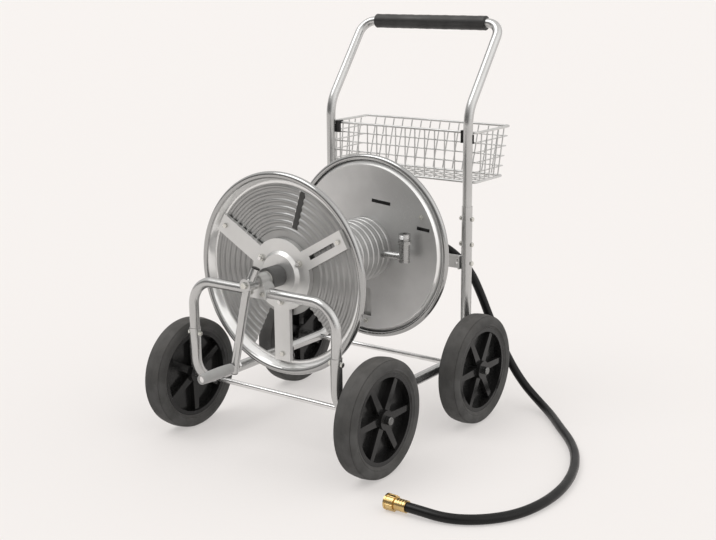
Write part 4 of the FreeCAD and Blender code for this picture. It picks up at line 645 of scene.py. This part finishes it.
@dataclass
class NodeSmoother:
    """Rounds the look of the CAD nodes with modifiers and leaves their own points as they are."""

    crease_deg: float = 32.0
    weld: float = 2e-6
    flat_deg: float = 0.3
    edge_steps: int = 3
    normal_weight: int = 100

    def smooth(self, name: str, edge_mm: float) -> None:
        """Welds a node's seams, shades it smoothly, and rounds its sharp edges or keeps them sharp.

        Args:
            name: the CAD node.
            edge_mm: width of the rounded edges; 0 keeps them sharp.
        """
        node = frame["nodes"][name]
        mesh = node.data
        if "custom_normal" in mesh.attributes:
            mesh.attributes.remove(mesh.attributes["custom_normal"])
        mesh.polygons.foreach_set("use_smooth", [True] * len(mesh.polygons))
        node.modifiers.new("weld", "WELD").merge_threshold = self.weld
        crease = math.radians(self.crease_deg)
        if edge_mm == 0:
            node.modifiers.new("crease", "EDGE_SPLIT").split_angle = crease
            return
        flat = node.modifiers.new("flat", "DECIMATE")
        flat.decimate_type = "DISSOLVE"
        flat.angle_limit = math.radians(self.flat_deg)
        bevel = node.modifiers.new("edge", "BEVEL")
        bevel.width = edge_mm * MM
        bevel.segments = self.edge_steps
        bevel.limit_method = "ANGLE"
        bevel.angle_limit = crease
        node.modifiers.new("weighted", "WEIGHTED_NORMAL").weight = self.normal_weight


def linked(name: str, data: bpy.types.ID) -> Piece:
    """Puts an object of mesh, curve, camera or light data in the scene.

    Args:
        name: name of the object.
        data: what it shows.

    Returns:
        The object.
    """
    piece = bpy.data.objects.new(name, data)
    bpy.context.scene.collection.objects.link(piece)
    return piece


def finished_mesh(name: str, work: bmesh.types.BMesh) -> Piece:
    """Turns a finished mesh into an object in the scene.

    Args:
        name: name of the piece.
        work: the mesh, which is freed.

    Returns:
        The new object, not yet placed.
    """
    bmesh.ops.recalc_face_normals(work, faces=work.faces)
    mesh = bpy.data.meshes.new(name)
    work.to_mesh(mesh)
    work.free()
    mesh.shade_smooth()
    mesh.set_sharp_from_angle(angle=math.radians(SHARP_DEG))
    return linked(name, mesh)


def turned_mesh(name: str, profile: Profile, axis: Axis, steps: int) -> Piece:
    """Makes a turned piece from a closed profile, about an axis through the origin.

    Args:
        name: name of the piece.
        profile: places along the axis and radii, in metres; the last point joins the first.
        axis: the row axis that it turns about.
        steps: number of steps in a full turn.

    Returns:
        The new object, not yet placed.
    """
    work = bmesh.new()
    rows = []
    for index in range(steps):
        angle = 2 * math.pi * index / steps
        rows.append([work.verts.new(axis.point(along, radius, angle)) for along, radius in profile])
    for here, there in zip(rows, rows[1:] + rows[:1]):
        for spot in range(len(profile)):
            after = (spot + 1) % len(profile)
            work.faces.new((here[spot], there[spot], there[after], here[after]))
    return finished_mesh(name, work)


def arc_points(start: Pair, middle: Pair, end: Pair, steps: int) -> Profile:
    """Gives points of a profile on the arc through three points, which is less than half a circle.

    Args:
        start: first point.
        middle: a point between the ends.
        end: last point.
        steps: number of steps from the first point to the last.

    Returns:
        The points, both ends included.
    """
    first, second, third = (complex(*point) for point in (start, middle, end))
    ratio = (third - first) / (second - first)
    centre = first + (second - first) * (ratio - abs(ratio) ** 2) / (2j * ratio.imag)
    turn = cmath.phase((third - centre) / (first - centre))
    points: Profile = []
    for step in range(steps + 1):
        point = centre + (first - centre) * cmath.rect(1.0, turn * step / steps)
        points.append((point.real, point.imag))
    return points


@dataclass(frozen=True)
class RoundedNodes:
    """CAD nodes whose sharp edges are rounded to one width."""

    edge_mm: float
    nodes: Names


RoundedGroups = tuple[RoundedNodes, ...]


@dataclass
class SubAssembly:
    """CAD nodes that belong together, which are dressed, and the pieces that are added to them."""

    shop: PaintShop
    smoother: NodeSmoother
    plain: Names = ()
    rounded: RoundedGroups = ()

    def dress(self, names: Names, edge_mm: float = 0.0) -> None:
        """Dresses nodes, and rounds their sharp edges or leaves them as they are.

        Args:
            names: the CAD nodes.
            edge_mm: width of the rounded edges; 0 keeps them sharp.
        """
        for name in names:
            self.shop.dress_node(name)
            self.smoother.smooth(name, edge_mm)
            LOG.info("dressed %s with edges of %.1f mm", name, edge_mm)

    def build(self) -> None:
        """Dresses the plain nodes and then the rounded ones."""
        self.dress(self.plain)
        for group in self.rounded:
            self.dress(group.nodes, group.edge_mm)

    def fit(self, piece: Piece, body: str, slot: Slot, *nodes: str) -> None:
        """Rides a piece on a body, gives it its finish and hides the nodes that it stands for.

        Args:
            piece: the new piece.
            body: body that carries it.
            slot: material slot of its finish.
            nodes: CAD nodes that it replaces.
        """
        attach(piece, body)
        if nodes:
            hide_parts(*nodes)
        self.shop.dress(piece, slot)
        LOG.info("made %s on %s", piece.name, body)


@dataclass
class TubeFrame(SubAssembly):
    """Side frames, hoop, handle tube and crossbar with their bolts."""

    plain: Names = ("left_side_frame", "right_side_frame", "front_hoop", "handle_tube")
    rounded: RoundedGroups = (
        RoundedNodes(0.8, ("rear_crossbar",)), RoundedNodes(0.4, ("frame_bolts", "frame_nuts")))


@dataclass
class FoamGrip(SubAssembly):
    """Foam sleeve on the handle's bar, slightly crushed in where hands hold it."""

    wall: float = 0.0058
    end_round: float = 0.0015
    end_steps: int = 4
    rows: int = 60
    turn_steps: int = 96
    crush: float = 0.0003
    crush_waves: Pair = (190.0, 71.0)

    def _outline(self, half: float, outer: float) -> Profile:
        """Gives the outer skin from the left end to the right, with rounded ends and shallow dents.

        Args:
            half: half of the sleeve's length.
            outer: outer radius.

        Returns:
            Places along the bar and radii.
        """
        end: Profile = []
        for step in range(self.end_steps + 1):
            turn = math.pi / 2 * step / self.end_steps
            along = half - self.end_round * (1 - math.cos(turn))
            end.append((along, outer - self.end_round * (1 - math.sin(turn))))
        reach = half - self.end_round
        skin: Profile = []
        for row in range(1, self.rows):
            along = -reach + 2 * reach * row / self.rows
            first, second = (along * wave for wave in self.crush_waves)
            skin.append((along, outer - self.crush * (1 + math.sin(first) * math.cos(second))))
        return [(-along, radius) for along, radius in end] + skin + end[::-1]

    def build(self) -> None:
        """Makes the sleeve in the space of its CAD node."""
        low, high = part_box("hand_grip")
        half = (high.x - low.x) / 2
        outer = (high.z - low.z) / 2
        inner = outer - self.wall
        profile = [(-half, inner)] + self._outline(half, outer) + [(half, inner)]
        grip = turned_mesh("hand_grip_foam", profile, Axis.X, self.turn_steps)
        grip.location = (low + high) / 2
        self.fit(grip, "cart", Slot.FOAM, "hand_grip")
        self.dress(("hand_grip",))


@dataclass
class WheelSets(SubAssembly):
    """Axles, caps, plastic wheel centres and solid rubber tyres."""

    plain: Names = ("front_axle", "rear_axle", "axle_spacers", "axle_caps")
    wheel_edge_mm: float = 0.9
    tyre_steps: int = 160
    radius: float = 0.127
    seat: float = 0.0977
    bead_half: float = 0.020
    ring_foot: Pair = (0.0222, 0.1019)
    ring_crest: Pair = (0.0242, 0.1040)
    ring_end: Pair = (0.0238, 0.1060)
    bulge: Pair = (0.025, 0.1139)
    shoulder: Pair = (0.0206, 0.1236)
    crease_floor: Pair = (0.0193, 0.1230)
    tread_edge: Pair = (0.0187, 0.1247)
    seam_half: float = 0.0006
    seam_rise: float = 0.0003
    ring_steps: int = 6
    flank_steps: int = 14
    tread_steps: int = 15

    def _half_profile(self) -> Profile:
        """Gives the right half of a tyre's section, from the bead to the middle of the tread.

        Returns:
            Places along the axle and radii.
        """
        crown = self.radius - self.seam_rise
        drop = crown - self.tread_edge[1]
        points: Profile = [(self.bead_half, self.seat)]
        points += arc_points(self.ring_foot, self.ring_crest, self.ring_end, self.ring_steps)
        points += arc_points(self.ring_end, self.bulge, self.shoulder, self.flank_steps)[1:]
        points.append(self.crease_floor)
        edge = self.tread_edge[0]
        for step in range(self.tread_steps + 1):
            along = edge + (self.seam_half - edge) * step / self.tread_steps
            points.append((along, crown - drop * (along / edge) ** 2))
        points.append((self.seam_half / 2, self.radius))
        return points

    def _tyre(self, place: WheelPlace) -> None:
        """Makes a tyre in the space of its CAD node.

        Args:
            place: which wheel.
        """
        low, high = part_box(f"{place}_tyre")
        right = self._half_profile()
        left = [(-along, radius) for along, radius in reversed(right)]
        tyre = turned_mesh(f"{place}_tyre_rubber", right + left, Axis.X, self.tyre_steps)
        tyre.location = (low + high) / 2
        self.fit(tyre, f"{place}_wheel_set", Slot.TYRE_RUBBER, f"{place}_tyre")

    def build(self) -> None:
        """Dresses the axles and wheel centres and makes the tyres."""
        super().build()
        for place in WheelPlace:
            self.dress((f"{place}_wheel",), self.wheel_edge_mm)
            self.dress((f"{place}_tyre",))
            self._tyre(place)


@dataclass
class HoseThread(SubAssembly):
    """Screw thread of a hose mount, as a ridge that winds along it."""

    mount: str = "hose_outlet"
    body: str = "reel"
    slot: Slot = Slot.STEEL
    axis: Axis = Axis.Z
    inside: bool = False
    pitch: float = 0.0022
    rise: float = 0.0006
    sunk: float = 0.0002
    steps_per_turn: int = 48
    end_gap: float = 0.0012
    flank_share: float = 0.36
    fades_per_turn: int = 4

    def build(self) -> None:
        """Winds the ridge between the ends of the mount's thread."""
        given = next(entry for entry in frame["record"]["mounts"] if entry["name"] == self.mount)
        radius = given["dims"]["r_mm"] * MM
        length = given["dims"]["length_mm"] * MM - 2 * self.end_gap - self.pitch
        outward = -1 if self.inside else 1
        steps = round(self.steps_per_turn * length / self.pitch)
        work = bmesh.new()
        rows = []
        flank = self.pitch * self.flank_share
        for step in range(steps + 1):
            angle = 2 * math.pi * step / self.steps_per_turn
            along = -length / 2 + length * step / steps
            fade = min(1.0, self.fades_per_turn * min(step, steps - step) / self.steps_per_turn)
            foot = radius - outward * self.sunk
            crest = radius + outward * (self.rise * fade - self.sunk * (1 - fade))
            section = ((along - flank, foot), (along, crest), (along + flank, foot))
            rows.append([work.verts.new(self.axis.point(place, reach, angle)) for place, reach in section])
        for here, there in zip(rows, rows[1:]):
            for first, second in ((0, 1), (1, 2), (2, 0)):
                work.faces.new((here[first], there[first], there[second], here[second]))
        work.faces.new(rows[0])
        work.faces.new(rows[-1])
        thread = finished_mesh(f"{self.mount}_thread", work)
        thread.location = given["pos_m"]
        self.fit(thread, self.body, self.slot)


@dataclass
class HoseReel(SubAssembly):
    """Discs, spiders, drum, axle, bearings and water outlet."""

    plain: Names = (
        "front_disc", "rear_disc", "drum", "reel_axle", "front_sleeve", "rear_sleeve", "tie_rods",
        "outlet_pipe", "front_bush", "rear_bush")
    rounded: RoundedGroups = (
        RoundedNodes(0.9, ("front_spider", "rear_spider")),
        RoundedNodes(0.6, ("front_saddle", "rear_bearing_block", "outlet_elbow", "slot_grommets")),
        RoundedNodes(0.4, (
            "tie_rod_nuts", "spider_bolts", "spider_nuts", "bearing_bolts", "bearing_nuts")),
    )
    axis_height: float = 0.390
    strip_turn_deg: float = 73.0
    strip_reach: Pair = (0.1044, 0.1896)
    strip_width: float = 0.0142
    strip_faces: Pair = (-0.1895, -0.1865)
    strip_round: float = 0.0008
    strip_steps: int = 3

    def _strip(self) -> None:
        """Makes a black rubber strip in the radial slot of the front disc, a dark sheet that stands in for
        the shade in the slot.
        """
        work = bmesh.new()
        bmesh.ops.create_cube(work, size=1.0)
        length, thickness = (pair[1] - pair[0] for pair in (self.strip_reach, self.strip_faces))
        bmesh.ops.scale(work, vec=(length, thickness, self.strip_width), verts=work.verts)
        bmesh.ops.bevel(
            work, geom=work.edges[:], offset=self.strip_round, segments=self.strip_steps,
            affect="EDGES", profile=0.5)
        strip = finished_mesh("front_slot_shade_strip", work)
        turn = math.radians(self.strip_turn_deg)
        middle = sum(self.strip_reach) / 2
        rise = self.axis_height + middle * math.sin(turn)
        strip.rotation_euler = (0.0, -turn, 0.0)
        strip.location = (middle * math.cos(turn), sum(self.strip_faces) / 2, rise)
        # the black rubber here is painted shade in the slot
        self.fit(strip, "reel", Slot.TYRE_RUBBER)

    def build(self) -> None:
        """Dresses the reel and its bearings, fills the front slot with a black strip as painted shade and
        winds the outlet's thread.
        """
        super().build()
        self._strip()
        HoseThread(self.shop, self.smoother).build()


@dataclass
class Crank(SubAssembly):
    """Crank arm with its plugs, bolt, pin and turning grip."""

    plain: Names = ("crank_arm", "crank_plugs", "crank_pin")
    rounded: RoundedGroups = (RoundedNodes(0.7, ("crank_bolt", "crank_grip")),)


@dataclass
class WireBasket(SubAssembly):
    """Welded wire basket and the clips that hold it to the handle's legs."""

    plain: Names = (
        "basket_rim", "basket_front", "basket_back", "basket_left", "basket_right", "basket_floor")
    rounded: RoundedGroups = (RoundedNodes(0.5, ("basket_clips",)),)


@dataclass
class CrimpBand:
    """Brass band that is crimped round an end of the hose in several rings."""

    start: float
    end: float
    middle: Place
    inner: float = 0.01015
    outer: float = 0.01195
    ring_count: int = 4
    ring_depth: float = 0.0006
    steps_per_ring: int = 10
    turn_steps: int = 64

    def make(self, name: str) -> Piece:
        """Makes the band along X.

        Args:
            name: name of the piece.

        Returns:
            The band, not yet on a body.
        """
        count = self.ring_count * self.steps_per_ring
        profile: Profile = [(self.start, self.inner)]
        for step in range(count + 1):
            along = self.start + (self.end - self.start) * step / count
            wave = 0.5 - 0.5 * math.cos(2 * math.pi * step / self.steps_per_ring)
            profile.append((along, self.outer - self.ring_depth * wave))
        profile.append((self.end, self.inner))
        band = turned_mesh(name, profile, Axis.X, self.turn_steps)
        band.location = self.middle
        return band


@dataclass
class LeaderHose(SubAssembly):
    """Black rubber hose from the inlet behind the reel to the coupling on the floor, with its fittings."""

    plain: Names = ("inlet_elbow", "inlet_seals", "inlet_ferrule", "leader_hose")
    end_fittings: Names = ("coupling_tail", "coupling_nut", "coupling_washer")
    diameter: float = 0.020
    length: float = 1.424
    round_steps: int = 8
    span_steps: int = 12
    band_length: float = 0.0236
    band_wall: float = 0.0018
    band_gap: float = 0.00015
    route: tuple[Place, ...] = (
        (0.0303, 0.260, 0.390), (0.0880, 0.260, 0.390), (0.143, 0.266, 0.368), (0.184, 0.277, 0.325),
        (0.206, 0.290, 0.268), (0.224, 0.303, 0.208), (0.248, 0.315, 0.149), (0.276, 0.323, 0.094),
        (0.308, 0.326, 0.052), (0.352, 0.316, 0.023), (0.402, 0.283, 0.0103), (0.455, 0.223, 0.0102),
        (0.512, 0.161, 0.0102), (0.557, 0.096, 0.0102), (0.594, 0.013, 0.0102), (0.615, -0.079, 0.0102),
        (0.615, -0.165, 0.0102), (0.596, -0.240, 0.0102), (0.552, -0.297, 0.0102), (0.497, -0.329, 0.011),
        (0.440, -0.338, 0.0168), (0.392, -0.338, 0.0168),
    )

    def _hose(self) -> Piece:
        """Lays the hose along its route; the radius of each point gives its thickness and its box.

        Returns:
            The hose.
        """
        curve = bpy.data.curves.new("leader_hose_line", "CURVE")
        curve.dimensions = "3D"
        curve.bevel_depth = 1.0
        curve.bevel_resolution = self.round_steps
        curve.resolution_u = self.span_steps
        spline = curve.splines.new("NURBS")
        spline.points.add(len(self.route) - 1)
        for point, place in zip(spline.points, self.route):
            point.co = (*place, 1.0)
            point.radius = self.diameter / 2
        spline.order_u = 3
        spline.use_endpoint_u = True
        hose = linked("leader_hose_rubber", curve)
        self.fit(hose, "cart", Slot.HOSE_RUBBER, "leader_hose")
        return hose

    def _inlet_band(self) -> None:
        """Makes the crimped band at the inlet in the place of its CAD node."""
        low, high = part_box("inlet_ferrule")
        middle = (low + high) / 2
        band = CrimpBand(low.x, high.x, (0.0, middle.y, middle.z))
        self.fit(band.make("inlet_crimp_band"), "cart", Slot.BRASS, "inlet_ferrule")

    def _end_band(self) -> Piece:
        """Makes the crimped rings on the coupling's tail.

        Returns:
            The band.
        """
        end = self.route[-1]
        inner = self.diameter / 2 + self.band_gap + self.band_wall
        gap = self.band_gap
        band = CrimpBand(
            end[0], end[0] + self.band_length, (0.0, end[1], end[2]),
            inner=inner - gap, outer=inner + 3 * gap, ring_depth=2 * gap)
        piece = band.make("coupling_crimp_band")
        self.fit(piece, "cart", Slot.BRASS)
        return piece

    def build(self) -> None:
        """Lays the hose and fits both of its ends."""
        super().build()
        self.dress(self.end_fittings)
        self._inlet_band()
        HoseThread(
            self.shop, self.smoother, mount="hose_inlet", body="hose_nut", slot=Slot.BRASS, axis=Axis.X,
            inside=True).build()
        pieces = [frame["nodes"][name] for name in self.end_fittings] + [self._end_band()]
        self._hose()


@dataclass(frozen=True)
class SkyLobe:
    """A wide patch of brighter light in the studio's walls."""

    aim: Place
    power: float
    strength: float

    def add(self, kit: NodeKit, direction: Socket, light: Socket) -> Socket:
        """Adds the patch to a light value.

        Args:
            kit: the node kit of the world's tree.
            direction: the direction that is looked in.
            light: the light so far.

        Returns:
            The light with the patch.
        """
        aim = tuple(Vector(self.aim).normalized())
        facing = kit.math("MAXIMUM", kit.vector_math("DOT_PRODUCT", direction, aim).outputs["Value"], 0.0)
        return kit.math("MULTIPLY_ADD", kit.math("POWER", facing, self.power), self.strength, light)


@dataclass
class Studio:
    """Pale floor, soft light from all round and the camera of the photograph."""

    azimuth_deg: float = 36.1
    elevation_deg: float = 13.9
    roll_deg: float = -0.5
    focal_px: float = 1221.9
    sensor_mm: float = 36.0
    eye: Place = (1.6187, -2.1417, 1.0221)
    floor_half: float = 60.0
    floor_tone: Colour = (0.42, 0.405, 0.396)
    floor_glow: Colour = (0.43, 0.415, 0.405)
    sky_tone: Colour = (1.0, 0.985, 0.97)
    sky_base: float = 0.54
    sky_top: float = 0.45
    lobes: tuple[SkyLobe, ...] = (
        SkyLobe((-0.8, -0.25, 0.45), 4.0, 0.1), SkyLobe((0.8, 0.45, 0.35), 4.0, 0.5))
    side_lobe: SkyLobe = SkyLobe((0.9, -0.35, 0.3), 6.0, 0.9)
    dark_aim: Place = (0.1, -0.995, 0.0)
    dark_depth: float = 0.78
    dark_reach: Pair = (0.0, 0.42)
    dark_height: Pair = (0.25, 0.75)
    backdrop: float = 0.89
    sun_strength: float = 0.9
    sun_angle_deg: float = 38.0
    sun_aim: Place = (0.4, 0.4, -0.9)

    def camera(self) -> None:
        """Sets the camera at the photograph's place, aim, roll and lens."""
        data = bpy.data.cameras.new("photograph_camera")
        data.sensor_width = self.sensor_mm
        data.sensor_fit = "HORIZONTAL"
        data.lens = self.focal_px * self.sensor_mm / IMAGE_WIDTH
        data.clip_end = 4 * self.floor_half
        camera = linked("photograph_camera", data)
        place = Matrix.Translation(self.eye)
        turns = ((self.azimuth_deg, "Z"), (90 - self.elevation_deg, "X"), (self.roll_deg, "Z"))
        for angle, axis in turns:
            place = place @ Matrix.Rotation(math.radians(angle), 4, axis)
        camera.matrix_world = place
        bpy.context.scene.camera = camera

    def floor(self) -> None:
        """Lays a pale floor that glows, so that shadows stay soft."""
        half = self.floor_half
        corners = [(-half, -half, 0), (half, -half, 0), (half, half, 0), (-half, half, 0)]
        mesh = bpy.data.meshes.new("studio_floor")
        mesh.from_pydata(corners, [], [(0, 1, 2, 3)])
        floor = linked("studio_floor", mesh)
        bench = ShaderBench("pale_floor")
        bench.fix(Base_Color=self.floor_tone, Roughness=0.7, Specular_IOR_Level=0.1)
        bench.fix(Emission_Color=self.floor_glow, Emission_Strength=1.0)
        mesh.materials.append(bench.material)

    def sky(self) -> None:
        """Sets soft light from all round, brighter above and at the sides, darker low near the viewer."""
        world = bpy.data.worlds.new("studio_light")
        world.use_nodes = True
        tree = world.node_tree
        tree.nodes.clear()
        kit = NodeKit(tree)
        direction = tree.nodes.new("ShaderNodeTexCoord").outputs["Generated"]
        height = kit.split(direction).outputs["Z"]
        light = kit.math("MULTIPLY_ADD", kit.math("MAXIMUM", height, 0.0), self.sky_top, self.sky_base)
        for lobe in self.lobes:
            light = lobe.add(kit, direction, light)
        towards = kit.vector_math("DOT_PRODUCT", direction, self.dark_aim).outputs["Value"]
        near = kit.ramp(towards, *self.dark_reach, 0.0, self.dark_depth)
        low = kit.ramp(height, *self.dark_height, 1.0, 0.0)
        shade = kit.math("SUBTRACT", 1.0, kit.math("MULTIPLY", near, low))
        lit = self.side_lobe.add(kit, direction, kit.math("MULTIPLY", light, shade))
        seen = tree.nodes.new("ShaderNodeLightPath").outputs["Is Camera Ray"]
        shown = kit.math("MULTIPLY_ADD", seen, kit.math("SUBTRACT", self.backdrop, lit), lit)
        background = tree.nodes.new("ShaderNodeBackground")
        background.inputs["Color"].default_value = (*self.sky_tone, 1.0)
        kit.join(shown, background.inputs["Strength"])
        output = tree.nodes.new("ShaderNodeOutputWorld")
        kit.join(background.outputs["Background"], output.inputs["Surface"])
        bpy.context.scene.world = world

    def lamp(self) -> None:
        """Adds the wide main light from the upper left."""
        data = bpy.data.lights.new("main_light", "SUN")
        data.energy = self.sun_strength
        data.angle = math.radians(self.sun_angle_deg)
        lamp = linked("main_light", data)
        lamp.rotation_mode = "QUATERNION"
        lamp.rotation_quaternion = Vector(self.sun_aim).to_track_quat("-Z", "Y")

    def build(self) -> None:
        """Builds the stage and sets the plain view transform."""
        self.camera()
        self.floor()
        self.sky()
        self.lamp()
        bpy.context.scene.view_settings.view_transform = "Standard"


def main() -> None:
    """Builds the stage and the sub-assemblies in order and reports each piece."""
    logging.basicConfig(level=logging.INFO, format="%(name)s: %(message)s")
    Studio().build()
    shop = PaintShop()
    smoother = NodeSmoother()
    for kind in (LeaderHose, TubeFrame, FoamGrip, WheelSets, HoseReel, Crank, WireBasket):
        kind(shop, smoother).build()
    shop.check()


if __name__ == "__main__":
    main()
